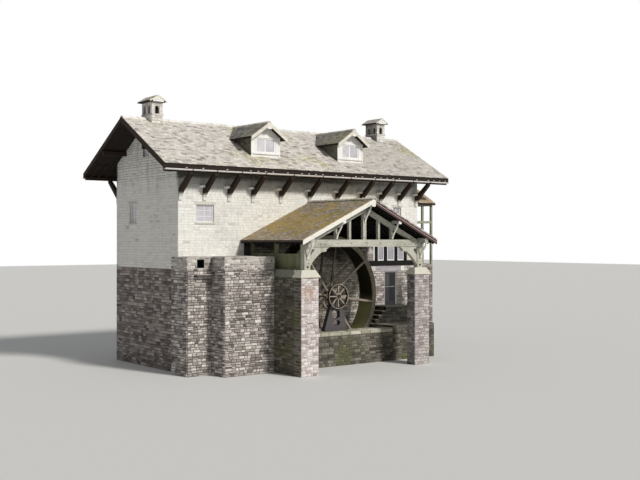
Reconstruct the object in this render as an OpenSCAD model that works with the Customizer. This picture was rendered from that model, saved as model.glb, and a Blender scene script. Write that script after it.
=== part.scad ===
// Stone watermill with a covered water wheel, in millimetres.
// X runs along the front wall, Y points to the back, Z is up and 0 is the floor of the wheel pit.

/* [Main walls] */
// Length of the building along its front wall
body_w = 16840; // [16400:20:17600]
// Depth of the building from front face to back face
body_d = 7000; // [6600:20:7600]
// Thickness of the stone walls
wall_t = 550; // [450:10:650]
// Height of the entrance sill above the floor of the wheel pit
entry_z = 2890; // [2850:5:2930]

/* [Floors] */
// Thickness of each timber floor
floor_t = 250; // [150:10:300]
// Height of the first floor above the entrance sill
first_rise = 2410; // [2350:10:2500]
// Height of the second floor above the first
second_rise = 2100; // [2050:10:2200]
// Drop of the attic floor's top below the tops of the front and back walls
attic_drop = 470; // [420:10:800]

/* [Main roof] */
// Slope of the main roof in degrees
roof_pitch = 30; // [28:0.5:32]
// Height of the slates at the eaves above the second floor
eave_rise = 3200; // [3100:10:3400]
// Overhang of the eaves beyond the front and back walls
eave_out = 1250; // [1150:10:1350]
// Overhang of the verges beyond the end walls
verge_out = 1440; // [1300:10:1600]
// Thickness of the roof slab, rafters and slates together
roof_t = 220; // [180:10:240]
// Width of one side of the ridge tiles
ridge_w = 200; // [120:10:240]
// Thickness of the ridge tiles
ridge_t = 30; // [20:5:50]

/* [Eaves] */
// Distances of the inner eaves struts from the middle of the wall
strut_x = [0, 2000, 3840, 5360, 6870]; // [0:10:7200]
// Distance of the outer eaves struts from the ends of the wall
strut_end = 120; // [100:10:300]
// Width of a strut along the wall
strut_w = 200; // [140:10:240]
// Depth of a strut
strut_t = 210; // [160:10:260]
// Drop of a strut's foot on the wall below the eaves
strut_drop = 1460; // [1300:10:1560]
// Height of the short wall post under a strut
strut_post_h = 280; // [200:10:400]
// Projection of the short wall post from the wall
strut_post_t = 90; // [60:5:120]
// Distance of the eaves beams' ends from the verges
eaves_beam_in = 50; // [30:5:80]
// Size of the square beam that the struts carry
eaves_beam = 180; // [140:10:220]
// Outer radius of the half-round gutter
gutter_r = 75; // [60:5:90]
// Thickness of the gutter wall
gutter_t = 12; // [8:1:16]
// Drop of the gutter's rim below the slates at the eaves
gutter_drop = 250; // [200:5:300]

/* [Chimneys] */
// Distance of each chimney's middle from the end of the building
chimney_in = 390; // [340:10:900]
// Width of a chimney along the ridge
chimney_w = 660; // [560:10:760]
// Depth of a chimney across the ridge
chimney_d = 1100; // [900:10:1200]
// Height of the solid part of a chimney above the main ridge
chimney_base_h = 228; // [180:2:300]
// Height of the part with the smoke openings
chimney_open_h = 660; // [560:10:760]
// Height of the chimney's own roof
chimney_roof_h = 370; // [300:10:450]
// Half width of the chimney's own roof
chimney_roof_w = 500; // [450:10:560]
// Overhang of the chimney's own roof at its two gables
chimney_roof_out = 150; // [80:10:200]
// Height of the upright edge of the chimney's own roof
chimney_edge_h = 60; // [40:5:80]
// Width of an arched smoke opening
smoke_w = 240; // [180:10:300]
// Height of an arched smoke opening
smoke_h = 450; // [400:10:500]
// Distance of the two side openings from a chimney's middle
smoke_y = 250; // [220:5:280]
// Wall thickness around the smoke openings
chimney_wall = 130; // [100:5:160]

/* [Dormers] */
// Distance of each dormer from the middle of the building
dormer_x = 3000; // [2800:10:3200]
// Width of a dormer's face
dormer_w = 1890; // [1700:10:2000]
// Thickness of a dormer's face and cheeks
dormer_t = 110; // [90:5:140]
// Height of a dormer's ridge above the slates at the wall face
dormer_h = 1880; // [1780:10:1930]
// Half width of a dormer's roof
dormer_roof_w = 1190; // [1100:10:1260]
// Slope of a dormer's roof in degrees
dormer_pitch = 35; // [32:0.5:38]
// Thickness of a dormer's roof
dormer_roof_t = 90; // [60:5:120]
// Overhang of a dormer's roof in front of its face
dormer_out = 400; // [300:10:500]
// Distance from the main ridge at which a dormer's opening in the roof ends
dormer_ridge_in = 1400; // [1200:10:1700]
// Depth of a dormer's bargeboards
dormer_board_d = 210; // [160:10:240]
// Thickness of a dormer's bargeboards
dormer_board_t = 35; // [25:5:50]
// Width of a dormer window
dormer_win_w = 1250; // [1100:10:1400]
// Height of a dormer window's sill above the slates at the wall face
dormer_sill = 240; // [180:10:280]
// Height of a dormer window
dormer_win_h = 780; // [700:10:800]

/* [Windows] */
// Width of a window frame's bars
frame_w = 60; // [40:5:80]
// Depth of a window frame
frame_d = 70; // [50:5:90]
// Setback of the window frames from the wall face
frame_in = 90; // [60:5:140]
// Thickness of the glass
glass_t = 8; // [6:1:12]
// Height of the window sills above their floor
sill_h = 320; // [280:10:420]
// Distance of the left front window's middle from the left end
left_window_in = 1600; // [1400:10:2400]
// Width of the left front window
left_window_w = 1080; // [900:10:1200]
// Height of the left front window
left_window_h = 920; // [800:10:1040]
// Distance of the right front window's middle from the timbered bay's left end
right_window_in = 2335; // [1900:5:2700]
// Width of the right front window
right_window_w = 650; // [550:10:800]
// Height of the right front window
right_window_h = 1060; // [900:10:1080]
// Middles of the back windows on the second floor
back_upper_x = [-5600, 0, 5600]; // [-7000:10:7000]
// Middles of the back windows on the first floor
back_lower_x = [-2800, 2800]; // [-7000:10:7000]
// Width of a back window
back_window_w = 900; // [700:10:1100]
// Height of a back window
back_window_h = 1060; // [900:10:1080]
// Distance of an end window's middle from the front wall's face
end_window_y = 5000; // [4700:10:5600]
// Width of an end window
end_window_w = 800; // [600:10:1000]
// Height of an end window
end_window_h = 1060; // [900:10:1100]
// Height of a gable window's sill above the attic floor
gable_sill = 700; // [500:10:900]
// Width of a gable window
gable_window_w = 600; // [500:10:800]
// Height of a gable window
gable_window_h = 800; // [600:10:900]

/* [Window band over the door] */
// Drop of the long black beam's underside below the first floor
beam_drop = 40; // [0:5:60]
// Depth of the long black beam
beam_h = 300; // [260:10:340]
// Projection of the black beam from the wall face
beam_out = 30; // [10:5:60]
// Height of the window band
band_h = 1490; // [1400:10:1540]
// Distances of the black studs' middles from the timbered bay's left end
stud_in = [630, 1380, 2230, 3000]; // [400:10:3400]
// Width of a black stud
stud_w = 250; // [200:10:280]
// Depth of a black stud
stud_t = 200; // [160:10:260]

/* [Entrance door] */
// Distance of the doorway's left side from the timbered bay's left end
door_side = 1300; // [1200:10:1400]
// Width of the doorway
door_w = 1000; // [900:10:1100]
// Height of the doorway
door_h = 2030; // [1960:5:2060]
// Width of the door frame's jambs and head
door_frame_w = 65; // [50:5:80]
// Depth of the door frame
door_frame_d = 100; // [80:5:120]
// Setback of the door frame from the wall face
door_in = 20; // [10:5:80]
// Thickness of the door leaf
door_t = 45; // [40:1:55]
// Clearance round the door leaf
door_gap = 6; // [5:1:9]
// Radius of the hinge pins
pin_r = 7; // [5:1:9]
// Length of one hinge knuckle
knuckle_h = 100; // [70:5:130]
// Length of a hinge strap from the pin
strap_l = 35; // [30:1:40]
// Heights of the two hinges above the sill
hinge_rise = [300, 1500]; // [200:10:1700]
// Width of the door leaf's stiles and rails
stile_w = 110; // [80:5:140]
// Depth of the recesses on both faces of the door leaf
panel_in = 10; // [6:1:14]
// Length of the pale lintel board over the door
lintel_w = 2700; // [2400:10:2900]
// Distance of the pale lintel board's left end from the timbered bay's left end
lintel_side = 200; // [100:10:300]
// Height of the pale lintel board
lintel_h = 310; // [260:10:330]
// Projection of the pale lintel board
lintel_out = 25; // [15:5:50]

/* [Steps and platform] */
// Drop of the stone platform's top below the entrance sill
platform_drop = 960; // [900:5:1000]
// Clearance between the water wheel and the platform
platform_gap = 410; // [380:10:480]
// Reach of the platform beyond the doorway's right side
platform_end = 300; // [250:10:600]
// Distance of the platform's front from the wall
platform_out = 2900; // [2700:10:3200]
// Distance of the lowest step from the platform's left side
step_in = 280; // [200:10:380]
// Going of one step
step_run = 280; // [250:5:300]
// Number of risers
step_n = 4; // [3:1:5]
// Length of the flight out from the wall
step_out = 1100; // [900:10:1300]
// Distance of the landing's end from the platform's right side
landing_in = 100; // [50:10:300]

/* [Abutment and wheel pit] */
// Reach of the stone abutment beyond the building's left end
abutment_end = 380; // [200:10:900]
// Distance of the abutment's face from the front wall
abutment_out = 2830; // [2600:10:3000]
// Top of the abutment
abutment_z = 5940; // [5800:10:6100]
// Width of the abutment's recessed bay
recess_w = 1400; // [1300:10:1600]
// Distance of the recessed bay's face from the front wall
recess_out = 1600; // [1400:10:1800]
// Distance of the sluice opening's middle from the abutment's left end
sluice_side = 765; // [700:5:850]
// Width and height of the sluice opening
sluice_w = 430; // [380:10:460]
// Drop of the sluice opening's foot below the abutment's top
sluice_drop = 550; // [500:10:600]
// Depth of the sluice opening
sluice_in = 700; // [400:10:900]
// Drop of the stone slab's top below the sluice opening
slab_drop = 320; // [200:10:500]
// Thickness of that slab
slab_t = 100; // [80:5:130]
// Projection of that slab
slab_out = 280; // [200:10:350]
// Overlap of that slab beside the sluice
slab_side = 150; // [80:10:200]
// Distance of the outer pit wall's front face from the front wall
pit_out = 2900; // [2800:10:3100]
// Thickness of the outer pit wall
pit_t = 850; // [700:10:900]
// Top of the outer pit wall
pit_z = 1830; // [1780:5:1880]

/* [Porch masonry] */
// Clearance between the water wheel and the low wall on the porch's left side
pit_gap = 490; // [400:10:540]
// Width of a pillar
pillar_w = 1080; // [1000:10:1120]
// Depth of a pillar
pillar_d = 600; // [500:10:700]
// Distance of a pillar's front face from the front wall
pillar_out = 5130; // [5100:10:5160]
// Top of the pillar shafts
pillar_z = 4930; // [4800:10:5000]
// Height of the caps and the coping
cap_h = 370; // [300:10:420]
// Overhang of the caps
cap_out = 90; // [60:5:120]
// Inset of a cap's flat top from the shaft's side
cap_in = 110; // [60:5:140]
// Inset of the coping's flat top from the low wall's sides
coping_in = 100; // [60:5:140]
// Thickness of the low wall on the porch's left side
dwarf_t = 600; // [500:10:640]

/* [Porch timbers] */
// Width of the front posts
post_w = 370; // [300:10:400]
// Thickness of the truss timbers
truss_t = 300; // [240:10:320]
// Distance of the truss's middle behind the pillars' front
truss_in = 330; // [290:10:370]
// Shift of the front posts outward from the pillars' middle
post_shift = 20; // [5:5:40]
// Height of the tie beam's underside above the caps
tie_rise = 1150; // [1100:10:1200]
// Depth of the tie beam
tie_h = 370; // [320:10:400]
// Width of the king post
king_w = 220; // [180:10:260]
// Distances of the studs beside the king post from it
truss_stud_x = [1000, 1920]; // [800:10:2300]
// Widths of those studs
truss_stud_w = [130, 110]; // [90:10:200]
// Thickness of the king post and the studs
truss_stud_t = 170; // [140:10:230]
// Drop of the principal rafters below the roof's top
rafter_drop = 405; // [400:5:430]
// Depth of the principal rafters
rafter_d = 190; // [160:10:220]
// Radius of the curved braces' lower edge
brace_r = 2500; // [2200:50:3000]
// Reach of the curved braces along the tie beam
brace_reach = 1350; // [1220:10:1450]
// Drop of the curved braces' feet below the tie beam
brace_drop = 1000; // [900:10:1080]
// Thickness of the curved braces
brace_t = 200; // [150:10:240]
// Width of the gap between a brace and its post
brace_gap_w = 330; // [260:10:360]
// Height of that gap
brace_gap_h = 360; // [300:10:390]
// Depth of the pad over that gap
brace_pad_h = 120; // [80:10:140]
// Size of the square purlins
purlin = 160; // [140:5:170]
// Distance of the side purlins from the middle of the porch
purlin_x = 1920; // [1880:10:1960]
// Size of the square wall plates
plate = 250; // [200:10:260]
// Shift of the wall plates outward from the front posts
plate_shift = 20; // [5:5:40]
// Distance of the purlin ends behind the bargeboards
purlin_in = 60; // [20:10:160]
// Height of the curved brackets under the purlin ends
bracket_h = 820; // [700:10:840]
// Thickness of the curved brackets under the purlin ends
bracket_t = 70; // [50:5:90]
// Width of those brackets
bracket_w = 90; // [70:5:110]

/* [Porch roof] */
// Height of the porch roof's eaves above the caps
porch_eave_rise = 1500; // [1460:10:1540]
// Rise of the porch roof from its eaves to its ridge
porch_rise = 2120; // [2060:10:2160]
// Overhang of the porch roof's eaves beyond the wall plates' middle
porch_eave_out = 700; // [660:10:740]
// Projection of the porch roof in front of the pillars
porch_front = 420; // [370:10:570]
// Thickness of the porch roof
porch_roof_t = 150; // [120:5:160]
// Depth of the bargeboards
barge_d = 240; // [180:10:280]
// Thickness of the bargeboards
barge_t = 40; // [30:5:60]
// Width of the block at the apex
apex_w = 240; // [180:10:300]
// Drop of that block's foot below the ridge
apex_drop = 385; // [300:5:440]
// Rise of that block's top over the ridge
apex_rise = 40; // [20:5:60]

/* [Porch side wall] */
// Thickness of the framed side wall
side_t = 150; // [120:10:170]
// Height of the boarded panel above the coping
side_board_h = 800; // [700:10:900]
// Height of the rails
side_rail = 110; // [80:10:140]
// Width of the side posts
side_post = 180; // [140:10:220]
// Thickness of the boarding
side_board_t = 50; // [30:5:60]

/* [Water wheel] */
// Outer radius of the wheel
wheel_r = 3310; // [3200:10:3400]
// Clearance between the wheel and the floor of the pit
wheel_lift = 430; // [380:10:480]
// Clearance between the wheel and the front wall
wheel_gap = 800; // [740:10:850]
// Width of the wheel
wheel_w = 1150; // [1050:10:1200]
// Depth of the shroud rings
shroud_d = 260; // [220:10:300]
// Thickness of the shroud rings
shroud_t = 60; // [40:5:80]
// Thickness of the sole boards
sole_t = 35; // [25:5:45]
// Number of buckets
bucket_n = 36; // [24:4:40]
// Thickness of a bucket board
bucket_t = 30; // [20:5:40]
// Lean of a bucket board from the wheel's radius, in degrees
bucket_lean = 35; // [25:1:45]
// Number of arms on each side
arm_n = 8; // [6:2:10]
// Angle of the first arm from level, in degrees
arm_turn = -8; // [-20:1:20]
// Width of an arm
arm_w = 110; // [90:5:140]
// Thickness of an arm
arm_t = 80; // [60:5:100]
// Radius of the hubs
hub_r = 330; // [280:10:380]
// Length of a hub along the axle
hub_l = 200; // [160:10:240]
// Radius of the axle
axle_r = 100; // [80:5:120]
// Clearance between the axle and its bearings
bearing_gap = 1; // [0.5:0.5:2]
// Projection of the axle's front end from the middle of the pulley
axle_front = 150; // [120:5:180]
// Clearance between the axle's other end and the front wall
axle_back = 30; // [20:5:60]

/* [Pulley and bearings] */
// Radius of the pulley
pulley_r = 680; // [620:10:720]
// Width of the pulley's rim
pulley_w = 150; // [120:10:180]
// Thickness of the pulley's rim
pulley_rim_t = 70; // [50:5:90]
// Distance of the pulley's middle in front of the bearing stand's middle
pulley_ahead = 290; // [260:10:340]
// Number of spokes
spoke_n = 8; // [6:1:10]
// Radius of the pulley's hub
pulley_hub_r = 170; // [140:10:200]
// Width of a spoke
spoke_w = 60; // [40:5:80]
// Width of the bearing stand's base
stand_w = 1600; // [1400:10:1700]
// Thickness of the bearing stand along the axle
stand_t = 260; // [200:10:280]
// Distance of the bearing stand's middle behind the pit wall's front face
stand_in = 600; // [560:10:640]
// Width of the bearing stand's top
stand_top_w = 520; // [460:10:600]
// Height of the stand's foot plate
stand_foot_h = 90; // [60:5:120]
// Projection of the foot plate from the legs
stand_foot_out = 40; // [20:5:60]
// Widths of the lower and the upper hole in the stand
stand_hole_w = [560, 520]; // [400:10:620]
// Heights of those holes
stand_hole_h = [270, 450]; // [200:10:500]
// Heights of their sills above the foot plate
stand_sill_h = [230, 610]; // [200:10:640]
// Cut across the corners of those holes
stand_hole_cut = 90; // [60:5:110]
// Radius of the bearing housings
housing_r = 230; // [200:10:260]
// Width of the block under a bearing housing
housing_block_w = 640; // [560:10:700]
// Drop of that block's foot below the axis
housing_block_drop = 300; // [260:10:360]
// Drop of that block's top below the axis
housing_block_top = 80; // [50:5:100]
// Projection of the wall bearing
wall_bearing_out = 380; // [300:10:420]

/* [Gallery at the right end] */
// Width of the gallery out from the end wall
gallery_w = 1330; // [1250:10:1400]
// Depth of the gallery
gallery_d = 4000; // [3600:10:4200]
// Height of the gallery's rail above the second floor
gallery_rail_h = 580; // [500:10:650]
// Size of the gallery's timbers
gallery_post = 130; // [100:10:150]
// Height of the gallery's eaves above the second floor
gallery_eave_h = 1700; // [1600:10:1750]
// Overhang of the gallery's eaves
gallery_out = 150; // [100:10:200]
// Thickness of the gallery roof
gallery_roof_t = 110; // [80:10:140]
// Distance of the first post from the end wall
gallery_post_in = 510; // [450:10:560]

/* [Hidden] */
$fn = 96;
// Facets of the wheel's large circles
large_fn = 240;

// Clearance where one piece is seated on another
seat = 0.3;
// Overlap used only to cut cleanly through faces
cut = 50;
// Overlap by which two forms of one piece are joined
join = 1;

// Heights above the floor of the wheel pit
first_z = entry_z + first_rise;
second_z = first_z + second_rise;
eave_z = second_z + eave_rise;
strut_z = eave_z - strut_drop;
gutter_z = eave_z - gutter_drop;
door_top_z = entry_z + door_h;
beam_z = first_z - beam_drop;
band_top_z = beam_z + beam_h + band_h;
platform_z = entry_z - platform_drop;
sluice_z = abutment_z - sluice_drop;
slab_z = sluice_z - slab_drop;
cap_z = pillar_z + cap_h;
tie_z = cap_z + tie_rise;
tie_top = tie_z + tie_h;
porch_eave_z = cap_z + porch_eave_rise;
porch_ridge_z = porch_eave_z + porch_rise;
side_sill_z = cap_z + side_board_h;
wheel_z = wheel_r + wheel_lift;
gallery_base_z = first_z;
gallery_rail_z = second_z + gallery_rail_h;
gallery_eave_z = second_z + gallery_eave_h;

// Places along the front wall, outward from the wheel's middle
half_w = body_w / 2;
roof_half = half_w + verge_out;
pit_half = wheel_r + pit_gap;
porch_side_x = pit_half + dwarf_t;
pillar_x = porch_side_x - pillar_w / 2;
post_x = pillar_x + post_shift;
post_inner = post_x - post_w / 2;
plate_x = post_x + plate_shift;
porch_half_w = plate_x + porch_eave_out;
bay_x0 = porch_side_x;
stud_x = [for (x = stud_in) bay_x0 + x];
door_x0 = bay_x0 + door_side;
lintel_x0 = bay_x0 + lintel_side;
platform_x0 = wheel_r + platform_gap;
platform_x1 = door_x0 + door_w + platform_end;
step_x0 = platform_x0 + step_in;
abutment_x0 = -half_w - abutment_end;
recess_x1 = abutment_x0 + recess_w;
chimney_x = half_w - chimney_in;

// Distances from the front wall
wheel_back = wheel_gap;
wheel_front = wheel_back + wheel_w;
stand_out = pit_out - stand_in;
pulley_out = stand_out + pulley_ahead;
truss_out = pillar_out - truss_in;
truss_front = truss_out + truss_t / 2;
stud_front = truss_front - truss_t + truss_stud_t;
porch_out = pillar_out + porch_front;
purlin_out = porch_out - barge_t - purlin_in - truss_front;
ridge_y = body_d / 2;
back_reach = body_d + eave_out + gutter_r;
// Y of the front wall's outer face, which sets the origin under the middle of the whole object
wall_y = (porch_out - back_reach) / 2;

// Sloping thicknesses measured upright
roof_slab_h = roof_t / cos(roof_pitch);
porch_slope = porch_rise / porch_half_w;
porch_pitch = atan(porch_slope);
porch_slab_h = porch_roof_t / cos(porch_pitch);
rafter_h = rafter_d / cos(porch_pitch);

// Height of the main roof's top and underside at a distance behind the front face
function roof_top(y) = eave_z + (min(y, body_d - y) + eave_out) * tan(roof_pitch);
function roof_under(y) = roof_top(y) - roof_slab_h;
// Height of the porch roof's top at a distance from the middle
function porch_top(x) = porch_ridge_z - abs(x) * porch_slope;

attic_z = roof_under(0) - attic_drop;
ridge_z = roof_top(ridge_y);
chimney_base_z = ridge_z + chimney_base_h;
chimney_top_z = chimney_base_z + chimney_open_h;
chimney_apex_z = chimney_top_z + chimney_roof_h;
dormer_ridge_z = roof_top(0) + dormer_h;
dormer_sill_z = roof_top(0) + dormer_sill;
plate_z = porch_top(plate_x + plate / 2) - porch_slab_h - seat;

// Windows of each wall: middle, width, sill and height
front_windows = [
    [left_window_in - half_w, left_window_w, second_z + sill_h, left_window_h],
    [bay_x0 + right_window_in, right_window_w, second_z + sill_h, right_window_h]];
back_windows = [
    for (x = back_upper_x) [x, back_window_w, second_z + sill_h, back_window_h],
    for (x = back_lower_x) [x, back_window_w, first_z + sill_h, back_window_h]];
end_windows = [
    [end_window_y, end_window_w, second_z + sill_h, end_window_h],
    [ridge_y, gable_window_w, attic_z + gable_sill, gable_window_h]];

stone = [0.55, 0.49, 0.48];
white_stone = [0.88, 0.86, 0.80];
cap_stone = [0.80, 0.79, 0.70];
slate = [0.66, 0.62, 0.61];
tile = [0.47, 0.36, 0.20];
dark_wood = [0.20, 0.12, 0.09];
black_wood = [0.10, 0.09, 0.09];
pale_wood = [0.72, 0.71, 0.62];
floor_wood = [0.50, 0.38, 0.26];
white_paint = [0.90, 0.89, 0.85];
grey_paint = [0.55, 0.55, 0.57];
glass_tint = [0.60, 0.58, 0.66];
iron = [0.16, 0.14, 0.15];
wheel_paint = [0.55, 0.50, 0.38];
wet_wood = [0.12, 0.13, 0.10];

// The house stands with the outer face of its front wall at wall_y
module in_house() {
    translate([0, wall_y, 0]) children();
}

// Block between two corners
module block(x, y, z) {
    translate([x[0], y[0], z[0]]) cube([x[1] - x[0], y[1] - y[0], z[1] - z[0]]);
}

// Outline given as [y, z] points, drawn from x[0] to x[1]
module along_x(x, points) {
    translate([x[0], 0, 0]) rotate([90, 0, 90]) linear_extrude(x[1] - x[0]) polygon(points);
}

// Outline given as [x, z] points, drawn from y[0] to y[1]
module along_y(y, points) {
    translate([0, y[1], 0]) rotate([90, 0, 0]) linear_extrude(y[1] - y[0]) polygon(points);
}

// Round bar or hole along Y at the wheel's axis
module on_axis(r, y) {
    translate([0, y[1], wheel_z]) rotate([90, 0, 0])
        cylinder(r = r, h = y[1] - y[0], $fn = r > 2 * pulley_r ? large_fn : $fn);
}

// The same piece on the left and on the right
module both_sides() {
    children();
    mirror([1, 0, 0]) children();
}

// Turns a piece that is drawn for the front wall round to the back wall
module at_back() {
    translate([0, body_d, 0]) mirror([0, 1, 0]) children();
}

// The same piece at the front and at the back
module front_and_back() {
    children();
    at_back() children();
}

// Wall of the front or back, from x[0] to x[1], with its top cut to the roof's slope
module eaves_wall(x, z0) {
    along_x(x, [[0, z0], [wall_t, z0], [wall_t, roof_under(wall_t) - seat], [0, roof_under(0) - seat]]);
}

// Hole through a wall for each window of a list
module window_holes(list) {
    for (w = list)
        block([w[0] - w[1] / 2, w[0] + w[1] / 2], [-cut, wall_t + cut], [w[2], w[2] + w[3]]);
}

// Rectangular frame of one window
module window_frame(w, setback) {
    difference() {
        block([w[0] - w[1] / 2 + seat, w[0] + w[1] / 2 - seat], [setback, setback + frame_d],
            [w[2] + seat, w[2] + w[3] - seat]);
        block([w[0] - w[1] / 2 + frame_w, w[0] + w[1] / 2 - frame_w],
            [setback - cut, setback + frame_d + cut], [w[2] + frame_w, w[2] + w[3] - frame_w]);
    }
}

// Pane of one window
module window_pane(w, setback) {
    block([w[0] - w[1] / 2 + frame_w + seat, w[0] + w[1] / 2 - frame_w - seat],
        [setback + frame_d / 2 - glass_t / 2, setback + frame_d / 2 + glass_t / 2],
        [w[2] + frame_w + seat, w[2] + w[3] - frame_w - seat]);
}

// Windows of the band, one between each pair of studs
band_windows = [for (i = [0:len(stud_x) - 2])
    [(stud_x[i] + stud_x[i + 1]) / 2, stud_x[i + 1] - stud_x[i] - stud_w, beam_z + beam_h,
        band_top_z - beam_z - beam_h]];
band_x0 = stud_x[0] - stud_w / 2;
band_x1 = stud_x[len(stud_x) - 1] + stud_w / 2;
band_z = [beam_z + beam_h + seat, band_top_z - seat];
dormer_windows = [for (side = [-1, 1]) [side * dormer_x, dormer_win_w, dormer_sill_z, dormer_win_h]];

module front_wall_left() {
    color(white_stone) in_house() difference() {
        eaves_wall([-half_w, bay_x0], 0);
        window_holes([front_windows[0]]);
    }
}

module front_wall_base() {
    color(stone) in_house()
        block([bay_x0 + seat, half_w], [0, wall_t], [0, entry_z - seat]);
}

module door_piers() {
    color(stone) in_house() for (x = [[bay_x0 + seat, door_x0], [door_x0 + door_w, half_w]])
        block(x, [0, wall_t], [entry_z, door_top_z]);
}

module wall_over_door() {
    color(stone) in_house()
        block([bay_x0 + seat, half_w], [0, wall_t], [door_top_z + seat, beam_z - seat]);
}

module black_beam() {
    color(black_wood) in_house()
        block([bay_x0 + seat, half_w], [-beam_out, wall_t], [beam_z, beam_z + beam_h]);
}

module band_piers() {
    color(white_stone) in_house() {
        block([bay_x0 + seat, band_x0 - seat], [0, wall_t], band_z);
        block([band_x1 + seat, half_w], [0, wall_t], band_z);
    }
}

module band_studs() {
    color(black_wood) in_house()
        for (x = stud_x)
            block([x - stud_w / 2, x + stud_w / 2], [-beam_out, stud_t], band_z);
}

module front_wall_upper() {
    color(white_stone) in_house() difference() {
        eaves_wall([bay_x0 + seat, half_w], band_top_z);
        window_holes([front_windows[1]]);
    }
}

// Gable wall between the front and the back walls
module end_wall() {
    difference() {
        along_x([0, wall_t], [[wall_t + seat, 0], [body_d - wall_t - seat, 0],
            [body_d - wall_t - seat, roof_under(body_d - wall_t - seat) - seat],
            [ridge_y, roof_under(ridge_y) - seat],
            [wall_t + seat, roof_under(wall_t + seat) - seat]]);
        for (w = end_windows)
            block([-cut, wall_t + cut], [w[0] - w[1] / 2, w[0] + w[1] / 2], [w[2], w[2] + w[3]]);
    }
}

module left_end_wall() {
    color(white_stone) in_house() translate([-half_w, 0, 0]) end_wall();
}

module right_end_wall() {
    color(white_stone) in_house() translate([half_w, 0, 0]) mirror([1, 0, 0]) end_wall();
}

module back_wall() {
    color(white_stone) in_house() at_back() difference() {
        eaves_wall([-half_w, half_w], 0);
        window_holes(back_windows);
    }
}

// Floor between the walls, with its top at z
module floor_slab(z) {
    block([-half_w + wall_t + seat, half_w - wall_t - seat], [wall_t + seat, body_d - wall_t - seat],
        [z - floor_t, z]);
}

module ground_floor() {
    color(stone) in_house() floor_slab(entry_z);
}

module upper_floors() {
    color(floor_wood) in_house() for (z = [first_z, second_z, attic_z]) floor_slab(z);
}

// One slope of the main roof, from the eaves to the ridge
module roof_slope() {
    top_y = ridge_y - seat / 2;
    along_x([-roof_half, roof_half], [[-eave_out, roof_under(-eave_out)], [-eave_out, roof_top(-eave_out)],
        [top_y, roof_top(top_y)], [top_y, roof_under(top_y)]]);
}

module roof_front() {
    color(slate) in_house() difference() {
        roof_slope();
        both_sides() block([dormer_x - dormer_w / 2 + dormer_t, dormer_x + dormer_w / 2 - dormer_t],
            [wall_t, ridge_y - dormer_ridge_in], [attic_z, dormer_ridge_z]);
    }
}

module roof_back() {
    color(slate) in_house() at_back() roof_slope();
}

// Stretches of the ridge beside and between the chimneys
module ridge_tiles() {
    chimney_l = chimney_x - chimney_w / 2 - seat;
    chimney_r = chimney_x + chimney_w / 2 + seat;
    color(slate) in_house()
        for (x = [[-roof_half, -chimney_r], [-chimney_l, chimney_l], [chimney_r, roof_half]])
            along_x(x, [
                for (y = [ridge_y - ridge_w, ridge_y, ridge_y + ridge_w]) [y, roof_top(y) + seat],
                for (y = [ridge_y + ridge_w, ridge_y, ridge_y - ridge_w]) [y, roof_top(y) + ridge_t]]);
}

// Underside of the roof over the eaves beam's outer edge
eaves_beam_y = eave_out - gutter_r - seat;
eaves_beam_z = roof_under(-eaves_beam_y) - seat;

module eaves_beams() {
    color(dark_wood) in_house() front_and_back()
        block([-roof_half + eaves_beam_in, roof_half - eaves_beam_in],
            [-eaves_beam_y, -eaves_beam_y + eaves_beam], [eaves_beam_z - eaves_beam, eaves_beam_z]);
}

// Foot of the wall post under a strut, which stands clear of the porch's ridge
function strut_foot(x) = max(strut_z - strut_post_h, porch_top(max(x - strut_w / 2, 0)) + seat);

// Slanting strut with its short wall post, in the plane x = 0
module eaves_strut(foot_z) {
    top_z = eaves_beam_z - eaves_beam - seat;
    upright = strut_t / cos(atan2(top_z - strut_z, eaves_beam_y - strut_post_t));
    along_x([-strut_w / 2, strut_w / 2], [[-seat, foot_z], [-seat, strut_z + upright],
        [-eaves_beam_y + eaves_beam, top_z], [-eaves_beam_y, top_z], [-eaves_beam_y, top_z - strut_t / 2],
        [-strut_post_t, strut_z], [-strut_post_t, foot_z]]);
}

module eaves_struts() {
    color(dark_wood) in_house() front_and_back()
        for (x = [each strut_x, half_w - strut_end], side = x > 0 ? [-1, 1] : [1])
            translate([side * x, 0, 0]) eaves_strut(strut_foot(x));
}

module gutters() {
    color(slate) in_house() front_and_back()
        translate([-roof_half, -eave_out, gutter_z]) rotate([90, 0, 90]) difference() {
            cylinder(r = gutter_r, h = 2 * roof_half);
            translate([0, 0, -cut]) cylinder(r = gutter_r - gutter_t, h = 2 * roof_half + 2 * cut);
            translate([-2 * gutter_r, 0, -cut]) cube([4 * gutter_r, 2 * gutter_r, 2 * roof_half + 2 * cut]);
        }
}

// Arched hole along X with its foot at the origin
module arch_hole(length) {
    translate([-length / 2, 0, 0]) rotate([90, 0, 90]) linear_extrude(length) {
        translate([-smoke_w / 2, 0]) square([smoke_w, smoke_h - smoke_w / 2]);
        translate([0, smoke_h - smoke_w / 2]) circle(r = smoke_w / 2, $fn = 48);
    }
}

module chimneys() {
    color(cap_stone) in_house() for (side = [-1, 1]) translate([side * chimney_x, ridge_y, 0])
        difference() {
            translate([0, -ridge_y, 0]) along_x([-chimney_w / 2, chimney_w / 2],
                [[ridge_y - chimney_d / 2, roof_top(ridge_y - chimney_d / 2) + seat],
                    [ridge_y, roof_top(ridge_y) + seat],
                    [ridge_y + chimney_d / 2, roof_top(ridge_y + chimney_d / 2) + seat],
                    [ridge_y + chimney_d / 2, chimney_top_z], [ridge_y - chimney_d / 2, chimney_top_z]]);
            block([-chimney_w / 2 + chimney_wall, chimney_w / 2 - chimney_wall],
                [-chimney_d / 2 + chimney_wall, chimney_d / 2 - chimney_wall],
                [chimney_base_z, chimney_top_z + cut]);
            for (y = [-1, 1]) translate([0, y * smoke_y, chimney_base_z]) arch_hole(chimney_w + cut);
            translate([0, 0, chimney_base_z]) rotate([0, 0, 90]) arch_hole(chimney_d + cut);
        }
}

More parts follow.
